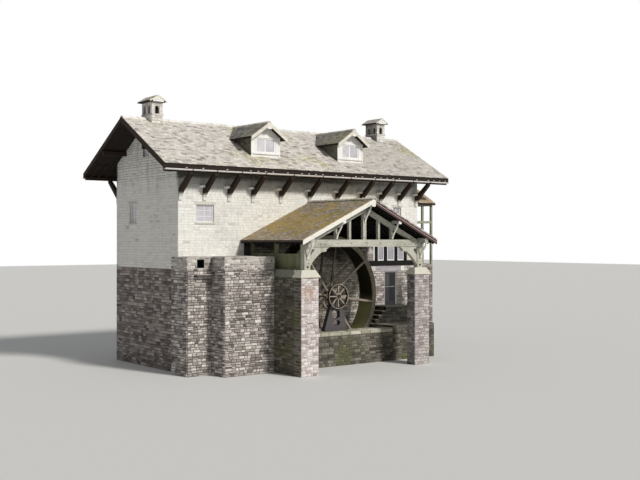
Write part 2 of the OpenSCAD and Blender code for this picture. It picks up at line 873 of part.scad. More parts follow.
module chimney_roofs() {
    y_half = chimney_d / 2 + chimney_roof_out;
    edge_z = chimney_top_z + chimney_edge_h;
    color(slate) in_house() for (side = [-1, 1]) translate([side * chimney_x, 0, 0])
        along_y([ridge_y - y_half, ridge_y + y_half],
            [[-chimney_roof_w, chimney_top_z + seat], [chimney_roof_w, chimney_top_z + seat],
                [chimney_roof_w, edge_z], [0, chimney_apex_z], [-chimney_roof_w, edge_z]]);
}

// Underside of a dormer's roof at a distance from its middle
function dormer_under(x) = dormer_ridge_z - dormer_roof_t / cos(dormer_pitch) - abs(x) * tan(dormer_pitch);

module dormer_walls() {
    x = dormer_w / 2;
    x_in = x - dormer_t;
    z0 = roof_top(0);
    color(white_stone) in_house() for (w = dormer_windows) difference() {
        translate([w[0], 0, 0]) along_y([0, body_d / 2], [[-x, z0 - cut], [x, z0 - cut],
            [x, dormer_under(x) - seat], [0, dormer_under(0) - seat], [-x, dormer_under(x) - seat]]);
        translate([w[0], 0, 0]) along_y([dormer_t, body_d], [[-x_in, z0 - 2 * cut], [x_in, z0 - 2 * cut],
            [x_in, dormer_under(x_in) + cut], [0, dormer_under(0) + cut], [-x_in, dormer_under(x_in) + cut]]);
        along_x([w[0] - dormer_w, w[0] + dormer_w], [[-cut, roof_top(-cut) + seat],
            [ridge_y, roof_top(ridge_y) + seat], [ridge_y, eave_z - cut], [-cut, eave_z - cut]]);
        window_holes([w]);
    }
}

module dormer_roofs() {
    color(slate) in_house() for (side = [-1, 1]) difference() {
        translate([side * dormer_x, 0, 0]) along_y([-dormer_out, ridge_y],
            [[-dormer_roof_w, dormer_under(dormer_roof_w)], [0, dormer_under(0)],
                [dormer_roof_w, dormer_under(dormer_roof_w)],
                [dormer_roof_w, dormer_under(dormer_roof_w) + dormer_roof_t / cos(dormer_pitch)],
                [0, dormer_ridge_z],
                [-dormer_roof_w, dormer_under(dormer_roof_w) + dormer_roof_t / cos(dormer_pitch)]]);
        along_x([side * dormer_x - 2 * dormer_w, side * dormer_x + 2 * dormer_w],
            [[-eave_out, roof_top(-eave_out) + seat],
                [ridge_y + cut, roof_top(ridge_y) + cut * tan(roof_pitch) + seat],
                [ridge_y + cut, attic_z - body_d], [-eave_out, attic_z - body_d]]);
    }
}

// Sloping boards on the front of each dormer's roof
module dormer_bargeboards() {
    top = dormer_roof_t / cos(dormer_pitch);
    color(white_paint) in_house() for (side = [-1, 1]) translate([side * dormer_x, 0, 0])
        along_y([-dormer_out - dormer_board_t, -dormer_out - seat],
            [for (x = [-dormer_roof_w, 0, dormer_roof_w]) [x, dormer_under(x) + top - dormer_board_d],
                for (x = [dormer_roof_w, 0, -dormer_roof_w]) [x, dormer_under(x) + top]]);
}

// Every window with the wall that it stands in
module each_window() {
    for (w = front_windows) {
        $w = w;
        $setback = frame_in;
        children();
    }
    for (w = band_windows) {
        $w = w;
        $setback = 0;
        children();
    }
    for (w = dormer_windows) {
        $w = w;
        $setback = seat;
        children();
    }
    at_back() for (w = back_windows) {
        $w = w;
        $setback = frame_in;
        children();
    }
    for (side = [-1, 1]) translate([side * half_w, 0, 0]) mirror([side > 0 ? 1 : 0, 0, 0])
        mirror([1, -1, 0]) for (w = end_windows) {
            $w = w;
            $setback = frame_in;
            children();
        }
}

module window_frames() {
    color(white_paint) in_house() each_window() window_frame($w, $setback);
}

module window_glass() {
    color(glass_tint) in_house() each_window() window_pane($w, $setback);
}

// Inner sides of the door frame
leaf_x0 = door_x0 + door_frame_w;
leaf_x1 = door_x0 + door_w - door_frame_w;
leaf_top = door_top_z - door_frame_w;
leaf_y = door_in + door_frame_d;
knuckle_r = 2 * pin_r;
hinge_y = leaf_y + knuckle_r + join;
hinge_x = leaf_x0;
hinge_z = [for (rise = hinge_rise) entry_z + rise];

module door_frame() {
    color(white_paint) in_house() {
        difference() {
            block([door_x0 + seat, door_x0 + door_w - seat], [door_in, door_in + door_frame_d],
                [entry_z, door_top_z - seat]);
            block([leaf_x0, leaf_x1], [door_in - cut, door_in + door_frame_d + cut],
                [entry_z - cut, leaf_top]);
        }
        for (z = hinge_z) {
            translate([hinge_x, hinge_y, z - knuckle_h]) cylinder(r = pin_r, h = 2 * knuckle_h);
            translate([hinge_x, hinge_y, z - knuckle_h]) cylinder(r = knuckle_r, h = knuckle_h - seat);
            block([hinge_x - strap_l, hinge_x], [leaf_y - join, hinge_y], [z - knuckle_h, z - seat]);
        }
    }
}

module door_leaf() {
    mid_z = (entry_z + leaf_top) / 2;
    y0 = leaf_y - door_t;
    color(grey_paint) in_house() difference() {
        union() {
            difference() {
                block([leaf_x0 + door_gap, leaf_x1 - door_gap], [y0, leaf_y],
                    [entry_z + 2 * door_gap, leaf_top - door_gap]);
                for (z = [[entry_z + 2 * stile_w, mid_z - stile_w / 2],
                        [mid_z + stile_w / 2, leaf_top - stile_w]],
                    y = [[y0 - cut, y0 + panel_in], [leaf_y - panel_in, leaf_y + cut]])
                    block([leaf_x0 + stile_w, leaf_x1 - stile_w], y, z);
            }
            for (z = hinge_z) {
                translate([hinge_x, hinge_y, z]) cylinder(r = knuckle_r, h = knuckle_h);
                block([hinge_x, hinge_x + strap_l], [leaf_y - join, hinge_y], [z, z + knuckle_h]);
            }
        }
        for (z = hinge_z)
            translate([hinge_x, hinge_y, z - cut]) cylinder(r = pin_r + seat, h = knuckle_h + 2 * cut);
    }
}

module door_lintel() {
    color(white_paint) in_house()
        block([lintel_x0, lintel_x0 + lintel_w], [-lintel_out, -seat], [door_top_z, door_top_z + lintel_h]);
}

module platform() {
    color(stone) in_house()
        block([platform_x0, platform_x1], [-platform_out, -seat], [0, platform_z]);
}

// The flight climbs to the right along the wall and ends in a landing at the door
module entrance_steps() {
    rise = (entry_z - platform_z) / step_n;
    landing_x = platform_x1 - landing_in;
    color(stone) in_house() along_y([-step_out, -seat], [
        [step_x0, platform_z + seat],
        for (i = [0:step_n - 1], top = [0, 1])
            [step_x0 + i * step_run, platform_z + (i + top) * rise + (i + top == 0 ? seat : 0)],
        [landing_x, entry_z], [landing_x, platform_z + seat]]);
}

// The abutment, with a recessed bay at its left for the sluice opening and its slab
module abutment() {
    x1 = -porch_side_x - seat;
    sluice_x = abutment_x0 + sluice_side;
    sluice = [sluice_x - sluice_w / 2, sluice_x + sluice_w / 2];
    color(stone) in_house() difference() {
        union() {
            linear_extrude(abutment_z) polygon([[abutment_x0, -seat], [abutment_x0, -recess_out],
                [recess_x1, -recess_out], [recess_x1, -abutment_out], [x1, -abutment_out], [x1, -seat]]);
            block([sluice[0] - slab_side, recess_x1], [-recess_out - slab_out, -recess_out + cut],
                [slab_z - slab_t, slab_z]);
        }
        block(sluice, [-recess_out - cut, -recess_out + sluice_in], [sluice_z, sluice_z + sluice_w]);
    }
}

module pit_wall() {
    color(stone) in_house()
        block([-pit_half + seat, platform_x0 - seat], [-pit_out, -pit_out + pit_t], [0, pit_z]);
}

module pillars() {
    color(stone) in_house() both_sides()
        block([pillar_x - pillar_w / 2, pillar_x + pillar_w / 2], [-pillar_out, -pillar_out + pillar_d],
            [0, pillar_z]);
}

dwarf_x = [-porch_side_x, -pit_half];
cap_back = -pillar_out + pillar_d + cap_out;

module low_side_wall() {
    color(stone) in_house()
        block(dwarf_x, [-pillar_out + pillar_d + seat, -seat], [0, pillar_z]);
}

// Pyramid caps on the pillars and the sloped coping on the low side wall
module pillar_caps() {
    x = [pillar_x - pillar_w / 2, pillar_x + pillar_w / 2];
    y = [-pillar_out, -pillar_out + pillar_d];
    z = [pillar_z + seat, cap_z];
    color(cap_stone) in_house() {
        for (side = [-1, 1]) intersection() {
            translate([side * pillar_x, 0, 0]) along_y([y[0] - cap_out, y[1] + cap_out],
                [[-pillar_w / 2 - cap_out, z[0]], [pillar_w / 2 + cap_out, z[0]],
                    [pillar_w / 2 - cap_in, z[1]], [-pillar_w / 2 + cap_in, z[1]]]);
            along_x([-2 * pillar_x, 2 * pillar_x], [[y[0] - cap_out, z[0]], [y[1] + cap_out, z[0]],
                [y[1] - cap_in, z[1]], [y[0] + cap_in, z[1]]]);
        }
        along_y([cap_back + seat, -seat], [[dwarf_x[0] - seat, z[0]], [dwarf_x[1] + cap_out, z[0]],
            [dwarf_x[1] - coping_in, z[1]], [dwarf_x[0] + coping_in, z[1]]]);
    }
}

module porch_posts() {
    color(pale_wood) in_house() both_sides()
        block([post_x - post_w / 2, post_x + post_w / 2], [-truss_front, -truss_front + truss_t],
            [cap_z + seat, plate_z - plate - seat]);
}

module tie_beam() {
    color(pale_wood) in_house()
        block([-post_inner + seat, post_inner - seat], [-truss_front, -truss_front + truss_t],
            [tie_z, tie_top]);
}

// Height of the principal rafters' underside at a distance from the middle
function rafter_under(x) = porch_top(x) - rafter_drop - rafter_h;

module king_post_and_studs() {
    y = [-stud_front, -stud_front + truss_stud_t];
    color(pale_wood) in_house() {
        block([-king_w / 2, king_w / 2], y, [tie_top + seat, ridge_purlin_z - purlin - seat]);
        both_sides() for (i = [0:len(truss_stud_x) - 1])
            let (x = truss_stud_x[i], w = truss_stud_w[i] / 2)
            along_y(y, [[x - w, tie_top + seat], [x + w, tie_top + seat],
                [x + w, rafter_under(x + w) - seat], [x - w, rafter_under(x - w) - seat]]);
    }
}

module principal_rafters() {
    x0 = king_w / 2 + seat;
    z0 = tie_top + seat;
    x_top = (porch_ridge_z - rafter_drop - z0) / porch_slope;
    x_low = (porch_ridge_z - rafter_drop - rafter_h - z0) / porch_slope;
    color(pale_wood) in_house() both_sides()
        along_y([-truss_front, -truss_front + truss_t],
            [[x0, rafter_under(x0)], [x_low, z0], [x_top, z0], [x0, rafter_under(x0) + rafter_h]]);
}

// Braces from the posts to the tie beam, hollowed along their lower edges
module arch_braces() {
    x = post_inner - seat;
    z = tie_z - seat;
    gap_z = z - brace_pad_h;
    reach = [x - brace_reach, z];
    foot = [x, z - brace_drop];
    half = norm(foot - reach) / 2;
    turn = atan2(brace_drop, brace_reach);
    middle = (foot + reach) / 2 - sqrt(pow(brace_r, 2) - pow(half, 2)) * [sin(turn), cos(turn)];
    y = -truss_front + (truss_t - brace_t) / 2;
    color(pale_wood) in_house() both_sides() translate([0, y + brace_t, 0]) rotate([90, 0, 0])
        linear_extrude(brace_t) difference() {
            polygon([reach, foot, [x, gap_z - brace_gap_h], [x - brace_gap_w, gap_z], [x, gap_z], [x, z]]);
            translate(middle) circle(r = brace_r, $fn = large_fn);
        }
}

ridge_purlin_z = porch_top(purlin / 2) - porch_slab_h - seat;
side_purlin_z = porch_top(purlin_x + purlin / 2) - porch_slab_h - seat;

module porch_purlins() {
    y = [-truss_front - purlin_out, -seat];
    color(pale_wood) in_house() {
        block([-purlin / 2, purlin / 2], y, [ridge_purlin_z - purlin, ridge_purlin_z]);
        both_sides() block([purlin_x - purlin / 2, purlin_x + purlin / 2], y,
            [side_purlin_z - purlin, side_purlin_z]);
        both_sides() block([plate_x - plate / 2, plate_x + plate / 2], y, [plate_z - plate, plate_z]);
    }
}

// Slender S-shaped bracket out to a purlin end, at x with its top at z, from foot_out in front of the wall
module purlin_bracket(x, z, foot_out) {
    steps = 16;
    edge = [for (i = [0:steps]) let (t = i / steps)
        [(purlin_out - bracket_t) * t * t * (3 - 2 * t), bracket_h * t]];
    translate([x - bracket_w / 2, -foot_out - seat, z - seat - bracket_h]) rotate([90, 0, 90])
        linear_extrude(bracket_w) mirror([1, 0])
            polygon(concat(edge, [for (i = [steps:-1:0]) edge[i] + [bracket_t, 0]]));
}

module purlin_brackets() {
    color(white_paint) in_house() {
        purlin_bracket(0, ridge_purlin_z - purlin, stud_front);
        both_sides() purlin_bracket(purlin_x, side_purlin_z - purlin, stud_front);
        both_sides() purlin_bracket(plate_x, plate_z - plate, truss_front);
    }
}

// Right slope of the porch roof
module porch_slope_right() {
    along_y([-porch_out + barge_t, -seat], [[seat / 2, porch_ridge_z - porch_slab_h],
        [porch_half_w, porch_eave_z - porch_slab_h], [porch_half_w, porch_eave_z],
        [seat / 2, porch_ridge_z]]);
}

module porch_roof_left() {
    color(tile) in_house() mirror([1, 0, 0]) porch_slope_right();
}

module porch_roof_right() {
    color(tile) in_house() porch_slope_right();
}

module bargeboards() {
    y = [-porch_out, -porch_out + barge_t - seat];
    x0 = apex_w / 2 + seat;
    color(white_paint) in_house() {
        both_sides() along_y(y, [[x0, porch_top(x0) - barge_d], [porch_half_w, porch_eave_z - barge_d],
            [porch_half_w, porch_eave_z], [x0, porch_top(x0)]]);
        block([-apex_w / 2, apex_w / 2], y, [porch_ridge_z - apex_drop, porch_ridge_z + apex_rise]);
    }
}

// Boarded panel with two openings over it, on the low wall's coping
module porch_side_frame() {
    x = [-plate_x - side_t / 2, -plate_x + side_t / 2];
    y0 = -truss_front + truss_t + seat;
    y1 = -seat;
    z0 = cap_z + seat;
    z1 = plate_z - plate - seat;
    color(pale_wood) in_house() {
        for (z = [[z0, z0 + side_rail], [side_sill_z - side_rail, side_sill_z]]) block(x, [y0, y1], z);
        for (y = [y0 + side_post / 2, (y0 + y1) / 2, y1 - side_post / 2])
            block(x, [y - side_post / 2, y + side_post / 2], [z0, z1]);
        block([-plate_x - side_board_t / 2, -plate_x + side_board_t / 2], [y0, y1], [z0, side_sill_z]);
    }
}

// Bearing housing on its block, bored for the axle
module bearing(y) {
    difference() {
        union() {
            on_axis(housing_r, y);
            block([-housing_block_w / 2, housing_block_w / 2], y,
                [wheel_z - housing_block_drop, wheel_z - housing_block_top]);
            children();
        }
        on_axis(axle_r + bearing_gap, [y[0] - cut, y[1] + cut]);
    }
}

// Cast stand on the outer pit wall, tapering up to the bearing and pierced by two holes
module bearing_stand() {
    y = [-stand_out - stand_t / 2, -stand_out + stand_t / 2];
    foot_z = pit_z + seat;
    body_z = foot_z + stand_foot_h;
    top_z = wheel_z - (housing_block_drop + housing_block_top) / 2;
    color(iron) in_house() bearing(y) {
        block([-stand_w / 2, stand_w / 2], [y[0] - stand_foot_out, y[1] + stand_foot_out], [foot_z, body_z]);
        difference() {
            along_y(y, [[-stand_w / 2, body_z - join], [stand_w / 2, body_z - join],
                [stand_top_w / 2, top_z], [-stand_top_w / 2, top_z]]);
            for (i = [0:len(stand_hole_w) - 1])
                let (x = stand_hole_w[i] / 2, z0 = body_z + stand_sill_h[i], z1 = z0 + stand_hole_h[i],
                    c = stand_hole_cut)
                along_y([y[0] - cut, y[1] + cut], [[-x + c, z0], [x - c, z0], [x, z0 + c], [x, z1 - c],
                    [x - c, z1], [-x + c, z1], [-x, z1 - c], [-x, z0 + c]]);
        }
    }
}

module wall_bearing() {
    color(iron) in_house() bearing([-wall_bearing_out, -seat]);
}

module gallery_base() {
    color(stone) in_house()
        block([half_w + seat, half_w + gallery_w], [0, gallery_d], [0, gallery_base_z]);
}

gallery_plate_z = gallery_eave_z - gallery_roof_t / cos(roof_pitch) + gallery_out * tan(roof_pitch) - seat;

module gallery_frame() {
    p = gallery_post;
    x0 = half_w + gallery_post_in;
    x1 = half_w + gallery_w;
    z0 = gallery_base_z + seat;
    color(pale_wood) in_house() {
        for (y = [0, gallery_d - p]) {
            for (x = [x0 - p / 2, x1 - p]) block([x, x + p], [y, y + p], [z0, gallery_plate_z]);
            block([half_w + seat, x1], [y, y + p], [gallery_rail_z - p, gallery_rail_z]);
            block([half_w + seat, x1], [y, y + p], [gallery_plate_z - p, gallery_plate_z]);
        }
        block([x1 - p, x1], [0, gallery_d], [gallery_rail_z - p, gallery_rail_z]);
        block([x1 - p, x1], [0, gallery_d], [gallery_plate_z - p, gallery_plate_z]);
        block([x1 - p, x1], [gallery_d / 2 - p / 2, gallery_d / 2 + p / 2], [z0, gallery_plate_z]);
    }
}

module gallery_roof() {
    h = gallery_roof_t / cos(roof_pitch);
    mid = gallery_d / 2;
    top = gallery_eave_z + (mid + gallery_out) * tan(roof_pitch);
    color(tile) in_house() along_x([half_w + seat, roof_half],
        [[-gallery_out, gallery_eave_z - h], [mid, top - h], [gallery_d + gallery_out, gallery_eave_z - h],
            [gallery_d + gallery_out, gallery_eave_z], [mid, top], [-gallery_out, gallery_eave_z]]);
}

shroud_r = wheel_r - shroud_d;

// Shroud ring whose near face is at y
module shroud(y) {
    difference() {
        on_axis(wheel_r, [y, y + shroud_t]);
        on_axis(shroud_r, [y - cut, y + shroud_t + cut]);
    }
}

module wheel_rims() {
    color(wheel_paint) in_house() for (y = [-wheel_front, -wheel_back - shroud_t]) shroud(y);
}

inner_y = [-wheel_front + shroud_t + seat, -wheel_back - shroud_t - seat];

module wheel_sole() {
    color(wet_wood) in_house() difference() {
        on_axis(shroud_r + sole_t, inner_y);
        on_axis(shroud_r, [inner_y[0] - cut, inner_y[1] + cut]);
    }
}

// Slanting bucket boards between the rings, outside the sole
module wheel_buckets() {
    color(wet_wood) in_house() intersection() {
        difference() {
            on_axis(wheel_r, inner_y);
            on_axis(shroud_r + sole_t + seat, [inner_y[0] - cut, inner_y[1] + cut]);
        }
        for (i = [0:bucket_n - 1]) translate([0, 0, wheel_z]) rotate([0, i * 360 / bucket_n, 0])
            translate([0, inner_y[0], shroud_r]) rotate([0, bucket_lean, 0])
                translate([-bucket_t / 2, 0, -shroud_d])
                    cube([bucket_t, inner_y[1] - inner_y[0], 3 * shroud_d]);
    }
}

// Radius to the flat end of an arm, whose corners reach the shroud ring
arm_end = sqrt(pow(shroud_r, 2) - pow(arm_w / 2, 2)) - seat;

// Near faces of the front and the back arms
arm_y = [-wheel_front, -wheel_back - arm_t];

module wheel_arms() {
    color(wheel_paint) in_house() for (y = arm_y, i = [0:arm_n - 1]) translate([0, y, wheel_z])
        rotate([0, -arm_turn - i * 360 / arm_n, 0])
            block([hub_r + seat, arm_end], [0, arm_t], [-arm_w / 2, arm_w / 2]);
}

module wheel_hubs() {
    color(wheel_paint) in_house() for (y = arm_y) difference() {
        on_axis(hub_r, [y + arm_t / 2 - hub_l / 2, y + arm_t / 2 + hub_l / 2]);
        on_axis(axle_r + seat, [y - hub_l, y + hub_l]);
    }
}

axle_y = [-pulley_out - axle_front, -axle_back];

module wheel_axle() {
    color(iron) in_house() on_axis(axle_r, axle_y);
}

module wheel_pulley() {
    y = [-pulley_out - pulley_w / 2, -pulley_out + pulley_w / 2];
    color(iron) in_house() difference() {
        union() {
            difference() {
                on_axis(pulley_r, y);
                on_axis(pulley_r - pulley_rim_t, [y[0] - cut, y[1] + cut]);
            }
            on_axis(pulley_hub_r, y);
            intersection() {
                on_axis(pulley_r - pulley_rim_t / 2, y);
                for (i = [0:spoke_n - 1]) translate([0, y[0] + pulley_w / 4, wheel_z])
                    rotate([0, i * 360 / spoke_n, 0])
                        translate([0, 0, -spoke_w / 2]) cube([pulley_r, pulley_w / 2, spoke_w]);
            }
        }
        on_axis(axle_r + seat, [y[0] - cut, y[1] + cut]);
    }
}

front_wall_left();
front_wall_base();
door_piers();
wall_over_door();
black_beam();
band_piers();
band_studs();
front_wall_upper();
left_end_wall();
right_end_wall();
back_wall();
ground_floor();
upper_floors();
roof_front();
roof_back();
ridge_tiles();
eaves_beams();
eaves_struts();
gutters();
chimneys();
chimney_roofs();
dormer_walls();
dormer_roofs();
dormer_bargeboards();
window_frames();
window_glass();
door_frame();
door_leaf();
door_lintel();
platform();
entrance_steps();
abutment();
pit_wall();
pillars();
low_side_wall();
pillar_caps();
porch_posts();
tie_beam();
king_post_and_studs();
principal_rafters();
arch_braces();
porch_purlins();
purlin_brackets();
porch_roof_left();
porch_roof_right();
bargeboards();
porch_side_frame();
bearing_stand();
wall_bearing();
gallery_base();
gallery_frame();
gallery_roof();
wheel_rims();
wheel_sole();
wheel_buckets();
wheel_arms();
wheel_hubs();
wheel_axle();
wheel_pulley();
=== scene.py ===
"""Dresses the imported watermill: camera, light, materials, stones, slates, tiles and small fittings.

All layout is in metres in the house's own frame, whose y is 0 on the front wall: Pile.done() moves
a finished mesh to the shared frame, and materials read places in the shared frame. Angles are in
degrees where a name ends in _deg. ROOF_V and PORCH_V are the roofs' thicknesses, measured upright.
"""
import math
import random
from types import SimpleNamespace

import bpy
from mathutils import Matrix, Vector


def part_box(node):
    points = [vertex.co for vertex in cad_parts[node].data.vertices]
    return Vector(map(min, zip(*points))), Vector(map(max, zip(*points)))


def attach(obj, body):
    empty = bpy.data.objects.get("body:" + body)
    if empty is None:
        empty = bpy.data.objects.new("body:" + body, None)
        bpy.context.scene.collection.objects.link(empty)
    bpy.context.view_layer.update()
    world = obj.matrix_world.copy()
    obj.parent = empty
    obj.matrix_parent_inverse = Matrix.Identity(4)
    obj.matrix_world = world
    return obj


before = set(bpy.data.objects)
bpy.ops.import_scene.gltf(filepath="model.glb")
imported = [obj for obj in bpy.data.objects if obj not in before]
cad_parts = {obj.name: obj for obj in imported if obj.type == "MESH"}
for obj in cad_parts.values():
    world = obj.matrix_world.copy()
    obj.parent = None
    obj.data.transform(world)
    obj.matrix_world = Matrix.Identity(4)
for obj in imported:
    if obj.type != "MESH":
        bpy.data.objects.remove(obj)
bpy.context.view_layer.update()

# Places read from the frame, with y counted from the front wall
WALL_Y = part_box("front_wall_base")[0].y
LOW, HIGH = {}, {}
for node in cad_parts:
    low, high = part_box(node)
    LOW[node], HIGH[node] = low - Vector((0, WALL_Y, 0)), high - Vector((0, WALL_Y, 0))

HALF_W = HIGH["front_wall_base"].x
DEPTH = HIGH["back_wall"].y
MID_Y = DEPTH / 2
PITCH = math.radians(30)
ROOF_V = 0.22 / math.cos(PITCH)
ROOF_HALF = HIGH["roof_front"].x
RIDGE_Z = HIGH["roof_front"].z
EAVE_OUT = -LOW["roof_front"].y
EAVE_Z = LOW["roof_front"].z + ROOF_V
WALL_TOP = EAVE_Z + EAVE_OUT * math.tan(PITCH) - ROOF_V
BARE_Z = HIGH["gallery_base"].z
STRUT_XS = (-8.30, -6.87, -5.36, -3.84, -2.0, 0.0, 2.0, 3.84, 5.36, 6.87, 8.30)
CHIMNEY_X, CHIMNEY_HALF_W, CHIMNEY_HALF_D = 8.03, 0.33, 0.55
PORCH_HALF, PORCH_RIDGE_Z = HIGH["porch_roof_right"].x, HIGH["porch_roof_right"].z
PORCH_OUT = -LOW["bargeboards"].y
PORCH_EAVE_Z = 6.80
PORCH_SLOPE = (PORCH_RIDGE_Z - PORCH_EAVE_Z) / PORCH_HALF
PORCH_PITCH = math.atan(PORCH_SLOPE)
PORCH_V = PORCH_EAVE_Z - LOW["porch_roof_right"].z
SIDE_X = HIGH["pillars"].x
PIT_X = 3.8
WHEEL_R = HIGH["wheel_rims"].x
WHEEL_Z = (LOW["wheel_rims"].z + HIGH["wheel_rims"].z) / 2
DORMER_X, DORMER_HALF, DORMER_ROOF_HALF = 3.0, 0.945, 1.19
DORMER_PITCH = math.radians(35)
DORMER_RIDGE_Z = HIGH["dormer_roofs"].z
DORMER_OUT = -LOW["dormer_roofs"].y
X_AXIS, Y_AXIS, Z_AXIS = Vector((1, 0, 0)), Vector((0, 1, 0)), Vector((0, 0, 1))


def roof_z(y):
    """Top of the main roof's front slope."""
    return EAVE_Z + (y + EAVE_OUT) * math.tan(PITCH)


def porch_z(x):
    """Top of the porch roof."""
    return PORCH_RIDGE_Z - abs(x) * PORCH_SLOPE


# Materials

def add_node(tree, kind, inputs, output=0, **settings):
    """Adds a node with its settings and inputs, and gives one of its outputs."""
    node = tree.nodes.new("ShaderNode" + kind)
    for name, setting in settings.items():
        setattr(node, name, setting)
    for key, value in inputs.items():
        socket = node.inputs[key]
        if isinstance(value, bpy.types.NodeSocket):
            tree.links.new(value, socket)
        else:
            socket.default_value = (*value, 1) if socket.type == "RGBA" else value
    return node.outputs[output] if node.outputs else None


class Nodes:
    """Builds one material's node tree; base is its colour so far."""

    def __init__(self, name, roughness, metallic=0.0):
        self.material = bpy.data.materials.new(name)
        self.material.use_nodes = True
        self.tree = self.material.node_tree
        self.bsdf = self.tree.nodes["Principled BSDF"]
        self.bsdf.inputs["Roughness"].default_value = roughness
        self.bsdf.inputs["Metallic"].default_value = metallic
        self.bsdf.inputs["Specular IOR Level"].default_value = 0.5 if roughness < 0.3 else 0.15
        self.place = self.tree.nodes.new("ShaderNodeTexCoord").outputs["Object"]
        self.base = None

    def node(self, kind, inputs, output=0, **settings):
        return add_node(self.tree, kind, inputs, output, **settings)

    def noise(self, scale, detail=4.0, rough=0.55, stretch=None, distortion=0.0):
        place = self.node("Mapping", {"Vector": self.place, "Scale": stretch}) if stretch else self.place
        return self.node("TexNoise", {"Vector": place, "Scale": scale, "Detail": detail, "Roughness": rough,
                                      "Distortion": distortion})

    def axis(self, letter):
        return self.node("SeparateXYZ", {0: self.place}, letter)

    def math(self, operation, a, b=0.0, c=0.0):
        return self.node("Math", {0: a, 1: b, 2: c}, operation=operation)

    def add(self, a, b):
        return self.math("ADD", a, b)

    def less(self, a, b):
        """1 where a is less than b, and else 0."""
        return self.math("LESS_THAN", a, b)

    def times(self, first, *others):
        for other in others:
            first = self.math("MULTIPLY", first, other)
        return first

    def away(self, x, z):
        """Distance from a place on a wall, given as X and Z."""
        x = self.math("POWER", self.math("SUBTRACT", self.axis("X"), x), 2.0)
        z = self.math("POWER", self.math("SUBTRACT", self.axis("Z"), z), 2.0)
        return self.math("SQRT", self.add(x, z))

    def mask(self, factor, low, high):
        """0 at low, 1 at high and smooth between; low may be the larger of the two."""
        return self.node("MapRange", {"Value": factor, "From Min": low, "From Max": high}, "Result",
                         interpolation_type="SMOOTHSTEP")

    def along(self, letter, low, high):
        """A mask along an axis."""
        return self.mask(self.axis(letter), low, high)

    def spots(self, low, high, *noise):
        """A mask of a noise."""
        return self.mask(self.noise(*noise), low, high)

    def ramp(self, factor, *stops):
        """A colour for every factor; each stop is a factor and its colour."""
        node = self.tree.nodes.new("ShaderNodeValToRGB")
        elements = node.color_ramp.elements
        elements[0].position, elements[1].position = stops[0][0], stops[-1][0]
        for position, _ in stops[1:-1]:
            elements.new(position)
        for element, (_, colour) in zip(elements, stops):
            element.color = (*colour, 1)
        self.tree.links.new(factor, node.inputs[0])
        return node.outputs["Color"]

    def toned(self, *stops):
        """A colour for the tone that every stone, slate or board carries."""
        return self.ramp(self.node("Attribute", {}, "Fac", attribute_name="tone"), *stops)

    def mix(self, factor, a, b):
        return self.node("Mix", {0: factor, 6: a, 7: b}, 2, data_type="RGBA")

    def over(self, colour, *factors):
        """Lays a colour over the base as far as the factors' product says."""
        self.base = self.mix(self.times(*factors), self.base, colour)

    def shade(self, letter, start, end, colour, share):
        """Lays a share of a colour over the base along an axis."""
        self.over(colour, self.along(letter, start, end), share)

    def done(self, height=None, distance=0.0, strength=1.0):
        """Gives the shader the base and a bump; the height is an output or the settings of a noise."""
        self.tree.links.new(self.base, self.bsdf.inputs["Base Color"])
        if height:
            if isinstance(height, tuple):
                height = self.noise(*height)
            bump = self.node("Bump", {"Height": height, "Distance": distance, "Strength": strength})
            self.tree.links.new(bump, self.bsdf.inputs["Normal"])
        return self.material


# Bumps, each as a noise's settings, its distance and its strength
STONE_BUMP = (34.0, 9, 0.72), 0.03, 0.8
IRON_BUMP = (55.0, 8, 0.7), 0.004, 0.7
UPRIGHT = (20.0, 20.0, 0.7)  # stretches a noise to grain along Z
BARK, BARK_DARK = (0.040, 0.026, 0.020), (0.014, 0.010, 0.008)
CREAM = (0.52, 0.51, 0.445), (0.30, 0.30, 0.24)
CREAM_STAIN = (0.22, 0.23, 0.155)


def scaled(colour, share):
    """A colour made darker, or lighter where the share is over 1."""
    return tuple(min(c * share, 0.95) for c in colour)


def plain(name, colour, roughness):
    """A faintly mottled coat of one colour."""
    n = Nodes(name, roughness)
    n.base = n.mix(n.noise(3.0), colour, scaled(colour, 0.97))
    return n.done()


def whitewash(name):
    """Limewash over coursed stone, streaked and darkened under the eaves by grime and painted shade, worn to
    the stone in places.
    """
    n = Nodes(name, 0.92)
    n.base = n.toned((0.0, (0.60, 0.57, 0.52)), (0.10, (0.78, 0.76, 0.72)), (0.3, (0.87, 0.86, 0.82)),
                     (1.0, (0.93, 0.93, 0.89)))
    n.over((0.68, 0.665, 0.63), n.spots(0.52, 0.74, 0.9, 6), 0.6)
    n.over((0.33, 0.34, 0.32), n.spots(0.46, 0.70, 1.0, 6, 0.55, (2.4, 2.4, 0.30)),
           n.math("MULTIPLY_ADD", n.along("Z", 8.9, 9.9), 0.35, 0.10))
    # Grime and painted shade: darker right under the eaves of the front and back walls, less so towards the
    # right.
    reach = n.math("ABSOLUTE", n.math("SUBTRACT", n.axis("Y"), WALL_Y + MID_Y))
    under = n.times(n.mask(reach, MID_Y - 0.2, MID_Y - 0.05),
                    n.math("MULTIPLY_ADD", n.along("X", 6.0, 1.0), 0.5, 0.5))
    height = n.add(n.axis("Z"), n.times(n.noise(2.0, 7, 0.7, (1.0, 1.0, 3.0)), 0.6))
    n.over((0.32, 0.32, 0.29), n.mask(height, 9.6, 10.15), 0.55, under)
    n.over((0.055, 0.057, 0.044), n.mask(height, 10.16, 10.46), 0.9, under)
    n.over((0.47, 0.44, 0.38), n.spots(0.56, 0.72, 7.0, 9, 0.68), 0.8)
    return n.done((24.0, 8, 0.68), 0.02, 0.7)


